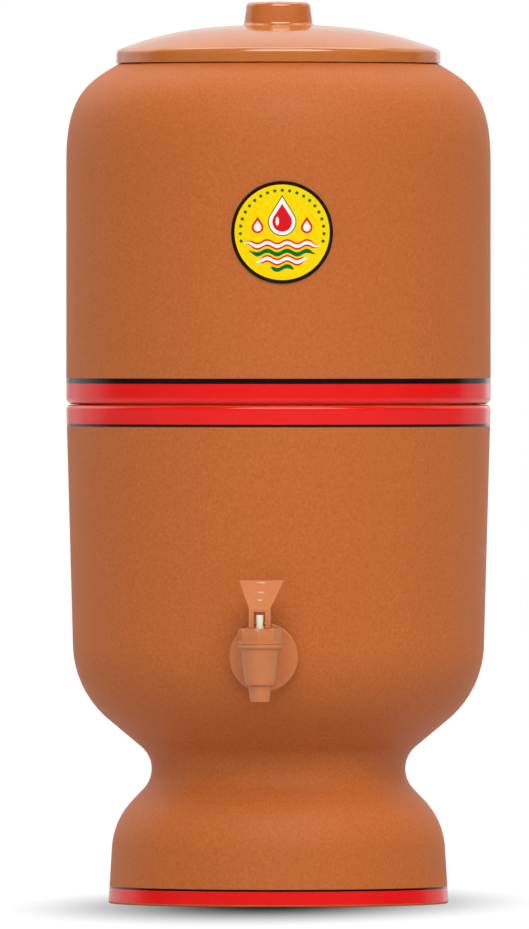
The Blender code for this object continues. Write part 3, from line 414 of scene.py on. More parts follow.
finishes = {
    "clay": {"dark": (179, 87, 29), "light": (203, 118, 62), "patch": (191, 103, 46), "patchShare": 0.2,
             "grainSize": 2100.0, "patchSize": 16.0, "roughness": (0.44, 0.6), "specular": 0.18,
             "bumpStrength": 0.6, "bumpDepth": 0.0001},
    "redEnamel": {"dark": (233, 15, 11), "light": (238, 19, 15), "patch": (235, 17, 13), "patchShare": 0.4,
                  "grainSize": 300.0, "patchSize": 30.0, "roughness": (0.14, 0.2), "specular": 0.45,
                  "bumpStrength": 0.3, "bumpDepth": 0.00004},
    "blackEnamel": {"dark": (10, 0, 0), "light": (14, 1, 1), "patch": (12, 0, 0), "patchShare": 0.4,
                    "grainSize": 300.0, "patchSize": 30.0, "roughness": (0.12, 0.18), "specular": 0.3,
                    "bumpStrength": 0.3, "bumpDepth": 0.00004},
    "lidPlastic": {"dark": (198, 110, 42), "light": (204, 116, 46), "patch": (201, 112, 44),
                   "patchShare": 0.4, "grainSize": 260.0, "patchSize": 22.0, "roughness": (0.1, 0.16),
                   "specular": 1.0, "bumpStrength": 0.05, "bumpDepth": 0.00003},
    "tapPlastic": {"dark": (199, 117, 67), "light": (207, 126, 74), "patch": (201, 121, 71),
                   "patchShare": 0.4, "grainSize": 700.0, "patchSize": 60.0, "roughness": (0.28, 0.36),
                   "specular": 0.4, "bumpStrength": 0.3, "bumpDepth": 0.00005},
    # paler than the tap's plastic as a painted highlight on the lever's thumb ridges, and glossier as their
    # real polish
    "polishedTapPlasticPaintedHighlight": {"dark": (214, 144, 102), "light": (222, 154, 112), "patch": (218, 148, 106),
                       "patchShare": 0.4, "grainSize": 700.0, "patchSize": 60.0, "roughness": (0.16, 0.22),
                       "specular": 0.6, "bumpStrength": 0.1, "bumpDepth": 0.00003},
    "creamPlastic": {"dark": (232, 230, 210), "light": (240, 239, 221), "patch": (234, 233, 214),
                     "patchShare": 0.4, "grainSize": 500.0, "patchSize": 50.0, "roughness": (0.32, 0.42),
                     "bumpStrength": 0.2, "bumpDepth": 0.00004, "subsurface": 0.1},
    "candleCeramic": {"dark": (226, 220, 206), "light": (242, 238, 228), "patch": (230, 222, 204),
                      "patchShare": 0.5, "grainSize": 900.0, "patchSize": 30.0, "roughness": (0.82, 0.95),
                      "bumpStrength": 0.6, "bumpDepth": 0.00012},
    "carbon": {"dark": (26, 26, 28), "light": (44, 44, 47), "patch": (32, 32, 34), "patchShare": 0.4,
               "grainSize": 800.0, "patchSize": 40.0, "roughness": (0.8, 0.95),
               "bumpStrength": 0.7, "bumpDepth": 0.00015},
    "rubber": {"dark": (34, 34, 36), "light": (46, 46, 48), "patch": (52, 51, 50), "patchShare": 0.3,
               "grainSize": 700.0, "patchSize": 60.0, "roughness": (0.6, 0.75),
               "bumpStrength": 0.4, "bumpDepth": 0.00006},
    "silicone": {"dark": (222, 218, 208), "light": (232, 228, 220), "patch": (226, 222, 212),
                 "patchShare": 0.4, "grainSize": 500.0, "patchSize": 60.0, "roughness": (0.45, 0.55),
                 "bumpStrength": 0.2, "bumpDepth": 0.00004, "subsurface": 0.3},
    # tinted brown, so that the lever pin's ends stand out less beside the stem
    "steel": {"dark": (146, 104, 82), "light": (160, 118, 96), "patch": (152, 110, 88), "patchShare": 0.4,
              "grainSize": 1500.0, "patchSize": 80.0, "roughness": (0.42, 0.52),
              "bumpStrength": 0.3, "bumpDepth": 0.00003, "metallic": 1.0},
}

inks = {
    "labelBlack": {"dark": (20, 16, 10), "light": (26, 20, 14), "patch": (24, 18, 12)},
    "labelYellow": {"dark": (252, 212, 0), "light": (255, 218, 2), "patch": (250, 210, 0)},
    "labelGreen": {"dark": (0, 104, 46), "light": (4, 114, 54), "patch": (2, 108, 50)},
    "labelRed": {"dark": (216, 20, 28), "light": (224, 28, 34), "patch": (218, 24, 30)},
    "labelWhite": {"dark": (240, 238, 232), "light": (248, 246, 242), "patch": (242, 240, 234)},
}

for name, colours in inks.items():
    finishes[name] = {**colours, "patchShare": 0.3, "grainSize": 400.0, "patchSize": 60.0,
                      "roughness": (0.34, 0.42), "bumpStrength": 0.2, "bumpDepth": 0.00003, "specular": 0.1}

surfaces = {name: makeFinish(name, finish) for name, finish in finishes.items()}
print("finishes mixed:", len(surfaces))


# Chambers

lowerVessel = {
    "footRadius": 0.1020, "footEdge": 0.0010, "footDraft": 0.0030, "footHeight": 0.0497,
    "footFillet": 0.0450, "footWall": 0.0100,
    "waistRadius": 0.0682, "waistHeight": 0.0821, "waistFillet": 0.0173,
    "bellyDraft": 0.0047, "bellyHeight": 0.1275, "bellyFillet": 0.0600,
    "wall": 0.0090, "topEdge": 0.0026, "mouthEdge": 0.0015,
    "floorAboveWaist": 0.0164, "floorThickness": 0.0120, "floorFillet": 0.0140,
    "redFrom": 0.0012, "redTo": 0.0091, "blackTo": 0.0104,
    "topRedFrom": 0.0005, "topRedTo": 0.0113, "topBlackTo": 0.0130,
    "tapHole": 0.0085,
}

upperVessel = {
    "wall": 0.0090, "floor": 0.0110, "footEdge": 0.0040, "floorFillet": 0.0140,
    "shoulderDrop": 0.0581, "startPull": 0.0405, "endPull": 0.0208, "endLean": math.radians(58.9),
    "rimRadius": 0.0958, "rimWidth": 0.0118, "rimThickness": 0.0070, "rimEdge": 0.0015,
    "candleHole": 0.0065, "bossDepth": 0.0080, "bossWidth": 0.0100, "bossClearance": 0.0015,
    "redFrom": 0.0003, "redTo": 0.0125, "blackTo": 0.0157,
    "shoulderPoints": 40,
}

vesselSkins = ["clay", "redEnamel", "blackEnamel"]
redSlot = 1
blackSlot = 2
leastOutward = 0.3  # paint goes on faces whose normals point outward by more than this


# An open outline of upright points moved to its left, as a wall's other face lies
def movedLeft(points, distance):
    ways = [(after - before).normalized() for before, after in zip(points, points[1:])]
    moved = []
    for index, point in enumerate(points):
        wayIn = ways[max(index - 1, 0)]
        wayOut = ways[min(index, len(ways) - 1)]
        left = Vector((-wayIn.y - wayOut.y, wayIn.x + wayOut.x)).normalized()
        moved.append(point + left * distance / left.dot(Vector((-wayIn.y, wayIn.x))))
    return moved


def atHeight(first, second, height):
    return first + (second - first) * (height - first.y) / (second.y - first.y)


# The lower chamber's outer corners: foot, bend above it, waist, belly and top
def lowerCorners():
    own = lowerVessel
    return [
        (own["footRadius"], 0, own["footEdge"]),
        (own["footRadius"] - own["footDraft"], own["footHeight"], own["footFillet"]),
        (own["waistRadius"], own["waistHeight"], own["waistFillet"]),
        (bodyRadius - own["bellyDraft"], own["bellyHeight"], own["bellyFillet"]),
        (bodyRadius, lowerHigh.z, own["topEdge"]),
    ]


def lowerWall(thickness):
    return movedLeft([Vector(corner[:2]) for corner in lowerCorners()], thickness)


def mouthOfLower(clearance=0):
    _, _, _, belly, top = lowerWall(lowerVessel["wall"] + clearance)
    return atHeight(belly, top, lowerHigh.z)


# Corners of the lower chamber's inside below its mouth, moved inward by a clearance
def insideCorners(clearance=0):
    own = lowerVessel
    _, _, waist, belly, _ = lowerWall(own["wall"] + clearance)
    floorTop = own["waistHeight"] + own["floorAboveWaist"] + clearance
    return [
        (*belly, own["bellyFillet"] - own["wall"]),
        (*atHeight(waist, belly, floorTop), own["floorFillet"]),
        (0, floorTop),
    ]


# Gives the outward faces between two heights the slot of their painted band.
def paintBands(shape, bands):
    for low, high, _ in bands:
        for level in (low, high):
            score(shape, (0, 0, level), (0, 0, 1))
    shape.normal_update()
    for face in shape.faces:
        centre = face.calc_center_median()
        outward = face.normal.dot(Vector((centre.x, centre.y, 0)).normalized())
        for low, high, slot in bands:
            if outward > leastOutward and low < centre.z < high:
                face.material_index = slot


def makeLowerChamber():
    own = lowerVessel
    foot, bend, waist, _, _ = lowerWall(own["footWall"])
    ceiling = atHeight(bend, waist, own["waistHeight"] + own["floorAboveWaist"] - own["floorThickness"])
    corners = [
        (0, ceiling.y),
        (*ceiling, own["floorFillet"]),
        (*bend, own["footFillet"] - own["footWall"]),
        tuple(atHeight(foot, bend, 0)),
        *lowerCorners(),
        (*mouthOfLower(), own["mouthEdge"]),
        *insideCorners(),
    ]
    shape = turned(corners, vesselSides)
    hole = rod(own["tapHole"], own["waistRadius"], bodyRadius + overcut)
    placed(hole, Matrix.Translation((0, 0, shankHeight)) @ alongY)
    shape = combined(shape, hole, "DIFFERENCE")
    paintBands(shape, [
        (own["redFrom"], own["redTo"], redSlot),
        (own["redTo"], own["blackTo"], blackSlot),
        (lowerHigh.z - own["topBlackTo"], lowerHigh.z - own["topRedTo"], blackSlot),
        (lowerHigh.z - own["topRedTo"], lowerHigh.z - own["topRedFrom"], redSlot),
    ])
    placed(shape, Matrix.Translation(axis))
    makePiece("lowerChamber", shape, vesselSkins, "base", "lower_chamber")


def makeUpperChamber():
    own = upperVessel
    floorTop = seam + own["floor"]
    boss = mouthOfLower().x - own["bossClearance"]
    lean = Vector((math.sin(own["endLean"]), -math.cos(own["endLean"])))
    start = Vector((bodyRadius, rim - own["shoulderDrop"]))
    end = Vector((own["rimRadius"], rim))
    shoulder = [point.xy for point in interpolate_bezier(
        start, start + Vector((0, own["startPull"])), end + lean * own["endPull"], end,
        own["shoulderPoints"])]
    mouth = own["rimRadius"] - own["rimWidth"]
    corners = [
        (own["candleHole"], floorTop),
        (own["candleHole"], seam),
        (boss - own["bossWidth"], seam),
        (boss - own["bossWidth"], seam - own["bossDepth"], own["rimEdge"]),
        (boss, seam - own["bossDepth"], own["rimEdge"]),
        (boss, seam),
        (bodyRadius, seam, own["footEdge"]),
        *[tuple(point) for point in shoulder[:-1]],
        (own["rimRadius"], rim),
        (mouth, rim, own["rimEdge"]),
        (mouth, rim - own["rimThickness"], own["rimEdge"]),
        *[tuple(point) for point in reversed(movedLeft(shoulder, own["wall"]))],
        (bodyRadius - own["wall"], floorTop, own["floorFillet"]),
    ]
    shape = turned(corners, vesselSides, closed=True)
    paintBands(shape, [
        (seam + own["redFrom"], seam + own["redTo"], redSlot),
        (seam + own["redTo"], seam + own["blackTo"], blackSlot),
    ])
    placed(shape, Matrix.Translation(axis))
    makePiece("upperChamber", shape, vesselSkins, "upper", "upper_chamber")


makeLowerChamber()
makeUpperChamber()
print("chambers turned")


# Lid

lid = {
    "overhang": 0.0014, "rimHeight": 0.0078, "rimWall": 0.0030, "rimEdge": 0.0032, "footEdge": 0.0004,
    "wall": 0.0025, "crown": 0.0154, "crownPull": 0.0453, "edgePull": 0.0296,
    "edgeSlope": math.radians(21.5), "domePoints": 48, "pointGap": 0.0002,
    "ringClearance": 0.0020, "ringWall": 0.0022, "ringDepth": 0.0080,
    "knobRadius": 0.0207, "knobDraft": 0.0018, "knobCrown": 0.0009,
    "knobEdge": 0.0026, "knobFoot": 0.0022, "filletRoom": 0.0060,
}


# The stretch of a dome's points from one distance from the axis to another
def between(points, start, end):
    low, high = sorted((start, end))

    def reached(value):
        for before, after in zip(points, points[1:]):
            near, far = sorted((before.x, after.x))
            if near <= value <= far and near < far:
                return before.lerp(after, (value - before.x) / (after.x - before.x))
        return points[-1]

    inner = [point for point in points if low + lid["pointGap"] < point.x < high - lid["pointGap"]]
    if (points[-1].x - points[0].x) * (end - start) < 0:
        inner.reverse()
    return [tuple(point) for point in [reached(start), *inner, reached(end)]]


def makeLid():
    own = lid
    foot = rim + gap
    edge = foot + own["rimHeight"]
    outer = upperVessel["rimRadius"] + own["overhang"]
    ringOuter = upperVessel["rimRadius"] - upperVessel["rimWidth"] - own["ringClearance"]
    ringFoot = foot - own["ringDepth"]
    start = Vector((0, edge + own["crown"]))
    end = Vector((outer, edge))
    slope = Vector((-math.cos(own["edgeSlope"]), math.sin(own["edgeSlope"])))
    dome = [point.xy for point in interpolate_bezier(
        start, start + Vector((own["crownPull"], 0)), end + slope * own["edgePull"], end, own["domePoints"])]
    inside = movedLeft(dome, -own["wall"])
    knobFoot = between(dome, own["knobRadius"], outer)[0]
    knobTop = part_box("lid")[1].z - own["knobCrown"]
    corners = [
        (0, knobTop + own["knobCrown"]),
        (own["knobRadius"] - own["knobDraft"], knobTop, own["knobEdge"]),
        (*knobFoot, own["knobFoot"]),
        *between(dome, own["knobRadius"] + own["filletRoom"], outer - own["filletRoom"]),
        (outer, edge, own["rimEdge"]),
        (outer, foot, own["footEdge"]),
        (outer - own["rimWall"], foot),
        *between(inside, outer - own["rimWall"], ringOuter),
        (ringOuter, ringFoot, own["footEdge"]),
        (ringOuter - own["ringWall"], ringFoot, own["footEdge"]),
        *between(inside, ringOuter - own["ringWall"], own["knobRadius"] - own["wall"]),
        (own["knobRadius"] - own["knobDraft"] - own["wall"], knobTop - own["wall"], own["footEdge"]),
        (0, knobTop - own["wall"]),
    ]
    shape = placed(turned(corners, vesselSides), Matrix.Translation(axis))
    makePiece("lid", shape, ["lidPlastic"], "lid", "lid")


makeLid()
print("lid turned")


# Front label: a plain badge with three drops over waves, inside an arc of beads

badge = {
    "radius": 0.0305, "thickness": 0.0004, "aboveSeam": 0.1027, "turn": math.radians(5.0),
    "border": 0.0021, "inkStep": 0.00004, "stripWidth": 0.0015,
    "beads": 21, "beadRadius": 0.0010, "beadRing": 0.0250, "beadSpan": math.radians(204.0),
    "dropRadius": 0.0058, "dropLow": 0.0004, "dropTip": 0.0170, "dropOutline": 0.0026, "dropBand": 0.0021,
    "sideDropRadius": 0.0023, "sideDropLow": 0.0006, "sideDropTip": 0.0070, "sideDropOff": 0.0146,
    "sideDropOutline": 0.0012,
    "gleamWidth": 0.0010, "gleamHeight": 0.0026, "gleamLeft": 0.0029, "gleamUp": 0.0066,
    "waveRadius": 0.0245, "waveSwing": 0.0011, "waveLength": 0.0118,
    "waveTaper": 4, "waveEnd": 0.15,  # each end comes down to this share of the width
    # height and width of each wave, from the top down; the pale ones have an outline
    "paleWaves": ((-0.0072, 0.0021), (-0.0166, 0.0021)), "waveOutline": 0.0011,
    "darkWaves": ((-0.0120, 0.0026), (-0.0212, 0.0024)),
}


# Lays a flat shape in X and Y, with its thickness in Z, onto the upper chamber's round wall.
def wrapOnWall(shape):
    radius = bodyRadius + gap
    centre = seam + badge["aboveSeam"]
    for vert in shape.verts:
        around = vert.co.x / radius + badge["turn"]
        out = radius + vert.co.z
        vert.co = Vector((out * math.sin(around), -out * math.cos(around), centre + vert.co.y)) + axis
    return shape


# Cuts a flat shape into narrow upright strips, so that it can bend.
def striped(shape, reach):
    count = int(2 * reach / badge["stripWidth"])
    for index in range(1, count):
        score(shape, (-reach + 2 * reach * index / count, 0, 0), (1, 0, 0))
    return shape


def ovalOutline(width, height, centre=(0, 0), points=128):
    angles = [math.tau * step / points for step in range(points)]
    return [(centre[0] + width * math.cos(angle), centre[1] + height * math.sin(angle)) for angle in angles]


def dropOutline(radius, low, tip, off=0.0, points=64):
    centre = low + radius
    half = math.acos(radius / (tip - centre))
    outline = [(off, tip)]
    for step in range(points + 1):
        angle = math.pi / 2 + half + (math.tau - 2 * half) * step / points
        outline.append((off + radius * math.cos(angle), centre + radius * math.sin(angle)))
    return outline


def waveOutline(height, width, points=40):
    reach = math.sqrt(badge["waveRadius"] ** 2 - (abs(height) + width / 2 + badge["waveSwing"]) ** 2)
    upper = []
    lower = []
    for step in range(points + 1):
        x = -reach + 2 * reach * step / points
        middle = height + badge["waveSwing"] * math.sin(math.tau * x / badge["waveLength"])
        taper = min(1.0, badge["waveTaper"] * (1 - abs(x) / reach) + badge["waveEnd"])
        upper.append((x, middle + width / 2 * taper))
        lower.append((x, middle - width / 2 * taper))
    return upper + lower[::-1]


def makeLabel():
    own = badge
    black, yellow, green, red, white = range(len(inks))
    field = own["radius"] - own["border"]
    prints = [(ovalOutline(field, field), 1, yellow)]  # outline, layer and ink
    for index in range(own["beads"]):
        angle = math.pi / 2 + own["beadSpan"] * (index / (own["beads"] - 1) - 0.5)
        spot = (own["beadRing"] * math.cos(angle), own["beadRing"] * math.sin(angle))
        prints.append((ovalOutline(own["beadRadius"], own["beadRadius"], spot, points=16), 2, green))
    rings = ((own["dropOutline"], black), (own["dropBand"], white), (0, red))
    for layer, (growth, ink) in enumerate(rings, 2):
        prints.append((dropOutline(own["dropRadius"] + growth, own["dropLow"] - growth,
                                   own["dropTip"] + 2 * growth), layer, ink))
    gleamSpot = (-own["gleamLeft"], own["gleamUp"])
    prints.append((ovalOutline(own["gleamWidth"], own["gleamHeight"], gleamSpot, points=32), 5, white))
    for off in (-own["sideDropOff"], own["sideDropOff"]):
        for layer, (growth, ink) in enumerate(((own["sideDropOutline"], red), (0, white)), 2):
            prints.append((dropOutline(own["sideDropRadius"] + growth, own["sideDropLow"] - growth,
                                       own["sideDropTip"] + 2 * growth, off, points=32), layer, ink))
    for height, width in own["paleWaves"]:
        prints.append((waveOutline(height, width + 2 * own["waveOutline"]), 2, red))
        prints.append((waveOutline(height, width), 3, white))
    prints += [(waveOutline(height, width), 2, green) for height, width in own["darkWaves"]]

    label = extruded(ovalOutline(own["radius"], own["radius"]), 0, own["thickness"])
    for outline, layer, ink in prints:
        top = own["thickness"] + layer * own["inkStep"]
        shape = extruded(outline, top - own["inkStep"], top)
        for face in shape.faces:
            face.material_index = ink
        addTo(label, shape)
    wrapOnWall(striped(label, own["radius"]))
    makePiece("frontLabel", label, inks, "upper", "front_label")


makeLabel()
print("label laid on")


# Candle, its seals and its nut

candle = {
    "stemRadius": 0.0055, "stemBore": 0.0025, "shellWall": 0.0080, "shellFoot": 0.0008,
    "coreBore": 0.0040, "baseEdge": 0.0014, "baseSides": 144,
    "grips": 36, "gripDepth": 0.0006, "gripMargin": 0.0010, "gripReach": 0.0002,
    "sealEdge": 0.0007, "nutWall": 0.0035, "nutWings": 0.0060, "wingSharpness": 6, "nutPoints": 96,
    "nutEdge": 0.0006, "threadPitch": 0.0020, "threadDepth": 0.0005, "threadStop": 0.0010,
}

ridgeShare = 0.96  # how much of its pitch a thread's ridge is wide
threadSteps = 24  # in one turn


# A ridge that climbs round a rod, from one height to another
def thread(radius, start, end, pitch, depth):
    shape = bmesh.new()
    half = ridgeShare / 2 * pitch
    corners = ((radius - depth, -half), (radius, 0), (radius - depth, half))
    verts = [shape.verts.new((x, 0, start + pitch / 2 + z)) for x, z in corners]
    face = shape.faces.new(verts)
    turns = (end - start - pitch) / pitch
    count = int(turns * threadSteps)
    bmesh.ops.spin(shape, geom=[face], cent=(0, 0, 0), axis=(0, 0, 1), dvec=(0, 0, pitch * turns / count),
                   angle=math.tau * turns, steps=count)
    return tidy(shape)


def makeCandle():
    own = candle
    baseLow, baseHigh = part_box("candle_base")
    shellLow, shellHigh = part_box("candle_shell")
    coreLow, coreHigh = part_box("candle_core")
    baseRadius = sizeOf("candle_base").x / 2
    shellRadius = sizeOf("candle_shell").x / 2
    shellBore = shellRadius - own["shellWall"]
    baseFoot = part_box("candle_washer_upper")[1].z + gap
    baseTop = shellLow.z - gap
    lay = Matrix.Translation(axis)

    stem = own["stemRadius"] - own["threadDepth"]
    base = turned([
        (own["stemBore"], baseLow.z),
        (stem, baseLow.z, own["threadDepth"]),
        (stem, baseFoot),
        (baseRadius, baseFoot, own["baseEdge"]),
        (baseRadius, baseTop, own["baseEdge"]),
        (shellBore - gap, baseTop),
        (shellBore - gap, baseHigh.z, own["threadDepth"]),
        (own["stemBore"], baseHigh.z),
    ], own["baseSides"], closed=True)
    for vert in base.verts:
        spot = vert.co.xy
        onRim = baseFoot + own["gripMargin"] < vert.co.z < baseTop - own["gripMargin"]
        if onRim and spot.length > baseRadius - own["gripReach"]:
            wave = 0.5 - 0.5 * math.cos(own["grips"] * math.atan2(spot.y, spot.x))
            vert.co.xy = spot * (1 - own["gripDepth"] * wave / baseRadius)
    addTo(base, thread(own["stemRadius"], baseLow.z, baseFoot - own["threadStop"], own["threadPitch"],
                       own["threadDepth"]))
    makePiece("candleBase", placed(base, lay), ["creamPlastic"], "upper", "candle_base")

    shell = turned([
        (0, shellHigh.z),
        (shellRadius, shellHigh.z, shellRadius),
        (shellRadius, shellLow.z, own["shellFoot"]),
        (shellBore, shellLow.z),
        (shellBore, shellHigh.z - own["shellWall"], shellBore),
        (0, shellHigh.z - own["shellWall"]),
    ], barrelSides)
    makePiece("candleShell", placed(shell, lay), ["candleCeramic"], "upper", "candle_shell")

    core = ring(own["coreBore"], sizeOf("candle_core").x / 2, coreLow.z, coreHigh.z, own["sealEdge"])
    makePiece("candleCore", placed(core, lay), ["carbon"], "upper", "candle_core")

    for name, node in (("candleWasherUpper", "candle_washer_upper"),
                       ("candleWasherLower", "candle_washer_lower")):
        low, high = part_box(node)
        seal = ring(own["stemRadius"] + gap, sizeOf(node).x / 2, low.z, high.z, own["sealEdge"])
        makePiece(name, placed(seal, lay), ["rubber"], "upper", node)

    nutLow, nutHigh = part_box("candle_nut")
    outline = []
    for index in range(own["nutPoints"]):
        angle = math.tau * index / own["nutPoints"]
        wing = own["nutWings"] * math.cos(angle) ** own["wingSharpness"]
        reach = own["stemRadius"] + own["nutWall"] + wing
        outline.append((reach * math.cos(angle), reach * math.sin(angle)))
    nut = combined(extruded(outline, nutLow.z, nutHigh.z),
                   rod(own["stemRadius"] + gap, nutLow.z - overcut, nutHigh.z + overcut), "DIFFERENCE")
    soften(nut, own["nutEdge"], least=60)
    makePiece("candleNut", placed(nut, lay), ["creamPlastic"], "upper", "candle_nut")


makeCandle()
print("candle fitted")


# Float valve

floatValve = {
    "wall": 0.0032, "height": 0.0160, "socket": 0.0110, "outlet": 0.0020,
    "pivotInset": 0.0010, "pinRadius": 0.0012, "pinEdge": 0.0002,
    "lugThickness": 0.0022, "lugReach": 0.0032,
    "armWidth": 0.0060, "armThickness": 0.0034, "armTail": 0.0036, "armReach": 0.0560, "armEdge": 0.0004,
    "studRadius": 0.0022, "studLength": 0.0060,
    "floatRadius": 0.0180, "floatHeight": 0.0240, "floatEdge": 0.0050, "floatSeam": 0.0003,
    "padLap": 0.0020, "padThickness": 0.0015, "padEdge": 0.0003, "padSides": 48,
    "drop": math.radians(20.0), "bodyEdge": 0.0006,
}


# Drills a hole along the Z axis of a place, to both sides of it.
def drilled(shape, radius, reach, place, sides=pinSides):
    return combined(shape, placed(rod(radius, -reach, reach, 0, sides), place), "DIFFERENCE")


def makeFloatValve():
    own = floatValve
    bore = candle["stemRadius"] + gap
    radius = bore + own["wall"]
    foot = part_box("candle_nut")[0].z - gap - own["height"]
    top = foot + own["height"]
    socket = top - own["socket"]
    half = own["armThickness"] / 2
    pivotHeight = foot - 2 * gap - own["padThickness"] - half
    setback = radius - own["pivotInset"]
    pivot = axis + Vector((-setback, 0, pivotHeight))
    lugInner = own["armWidth"] / 2 + gap
    lugOuter = lugInner + own["lugThickness"]

    body = placed(turned([
        (own["outlet"], foot),
        (radius, foot, own["bodyEdge"]),
        (radius, top, own["bodyEdge"]),
        (bore, top),
        (bore, socket),
        (own["outlet"], socket),
    ], closed=True), Matrix.Translation(axis))
    for side in (-1, 1):
        inner, outer = sorted((side * lugInner, side * lugOuter))
        lug = block((-own["lugReach"], inner, -own["lugReach"]),
                    (own["lugReach"], outer, foot + own["lugReach"] - pivotHeight))
        body = combined(body, placed(lug, Matrix.Translation(pivot)), "UNION")
    pinPlace = Matrix.Translation(pivot) @ alongY
    body = drilled(body, own["pinRadius"] + gap, lugOuter + overcut, pinPlace)
    makePiece("floatValveBody", body, ["creamPlastic"], "upper", "float_valve_body")
    pin = rod(own["pinRadius"], -lugOuter, lugOuter, own["pinEdge"], pinSides)
    makePiece("floatPin", placed(pin, pinPlace), ["steel"], "upper", "float_pin")

    hang = Matrix.Translation(pivot) @ Matrix.Rotation(own["drop"], 4, "Y")
    arm = block((-own["armTail"], -own["armWidth"] / 2, -half),
                (own["armReach"] + own["armTail"], own["armWidth"] / 2, half))
    soften(arm, own["armEdge"])
    arm = drilled(arm, own["pinRadius"] + gap, own["armWidth"], alongY)
    stud = rod(own["studRadius"], -half - own["studLength"], 0, own["armEdge"], pinSides)
    arm = combined(arm, placed(stud, Matrix.Translation((own["armReach"], 0, 0))), "UNION")
    makePiece("floatArm", placed(arm, hang), ["creamPlastic"], "float_arm", "float_arm")

    floatTop = -half - gap
    studHole = floatTop - own["studLength"]
    middle = floatTop - own["floatHeight"] / 2
    shape = turned([
        (0, studHole),
        (own["studRadius"] + gap, studHole),
        (own["studRadius"] + gap, floatTop),
        (own["floatRadius"] - own["floatSeam"], floatTop, own["floatEdge"]),
        (own["floatRadius"] - own["floatSeam"], middle + 2 * own["floatSeam"]),
        (own["floatRadius"], middle + own["floatSeam"]),
        (own["floatRadius"], middle - own["floatSeam"]),
        (own["floatRadius"] - own["floatSeam"], middle - 2 * own["floatSeam"]),
        (own["floatRadius"] - own["floatSeam"], floatTop - own["floatHeight"], own["floatEdge"]),
        (0, floatTop - own["floatHeight"]),
    ])
    placed(shape, hang @ Matrix.Translation((own["armReach"], 0, 0)))
    makePiece("float", shape, ["creamPlastic"], "float_arm", "float")
    pad = rod(own["outlet"] + own["padLap"], half + gap, half + gap + own["padThickness"], own["padEdge"],
              own["padSides"])
    placed(pad, hang @ Matrix.Translation((setback, 0, 0)))
    makePiece("valvePad", pad, ["rubber"], "float_arm", "valve_pad")


makeFloatValve()
print("float valve hung")


# Tap

tap = {
    "shankRadius": 0.0080, "shankWall": 0.0038, "neckRadius": 0.0070, "neckFillet": 0.0016,
    "flangeRadius": 0.0206, "flangeThickness": 0.0024, "flangeEdge": 0.0010,
    "barrelFoot": 0.0089, "barrelFlare": 0.0033, "barrelWall": 0.0019,
    "aboveShank": 0.0057, "belowShank": 0.0162, "footEdge": 0.0012,
    "collarLip": 0.00125, "collarHeight": 0.0023, "collarEdge": 0.0004,
    "nozzleLength": 0.0099, "nozzleStep": 0.00185, "nozzleTaper": 0.00135, "nozzleWall": 0.0019,
    "nozzleEdge": 0.0003, "seatThickness": 0.0038, "nutEdge": 0.0008,
    "threadPitch": 0.0020, "threadDepth": 0.0006, "threadStart": 0.0004, "threadStop": 0.0015,
}

bonnet = {
    "collarHeight": 0.0023, "sides": 8, "cornerInset": 0.00015, "plugDepth": 0.0030,
    "chamferAcross": 0.0012, "chamferDown": 0.0022,
    "turn": math.radians(-3.0), "edge": 0.00025,
}

valve = {
    "stemRadius": 0.0024, "abovePin": 0.0052, "inCup": 0.0060, "stemEdge": 0.0005,
    "cupClearance": 0.0014, "cupNeck": 0.0011, "cupHeight": 0.0085, "cupSkirt": 0.0028,
    "cupEdge": 0.0005, "skirtEdge": 0.0008, "neckFillet": 0.0015, "neckEdge": 0.0003,
    "pinRadius": 0.0011, "pinEdge": 0.0002, "pinSides": 40,
}

collarRadius = tap["barrelFoot"] + tap["barrelFlare"] + tap["collarLip"]
collarTop = tap["aboveShank"] + tap["collarHeight"]
barrelBore = tap["barrelFoot"] - tap["barrelWall"]
seat = -tap["belowShank"] + tap["seatThickness"]
bonnetFoot = collarTop + gap / 3  # screwed down tight
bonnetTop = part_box("bonnet")[1].z - shankHeight
pinHeight = middleOf("lever_pin").z - shankHeight
barrelAxis = Matrix.Translation((0, barrel.y, shankHeight))
shankAxis = Matrix.Translation(axis + Vector((0, 0, shankHeight))) @ alongY


def outFromAxis(y):
    return axis.y - y


# Leaves the flats of a nut or cap on a round blank.
def cutFlats(shape, sides, cornerRadius, start, end, turn=0.0):
    flat = cornerRadius * math.cos(math.pi / sides)
    reach = 2 * cornerRadius
    for index in range(sides):
        angle = turn + math.tau * (index + 0.5) / sides
        cutter = block((flat, -reach, start), (flat + reach, reach, end))
        shape = combined(shape, placed(cutter, Matrix.Rotation(angle, 4, "Z")), "DIFFERENCE")
    return shape


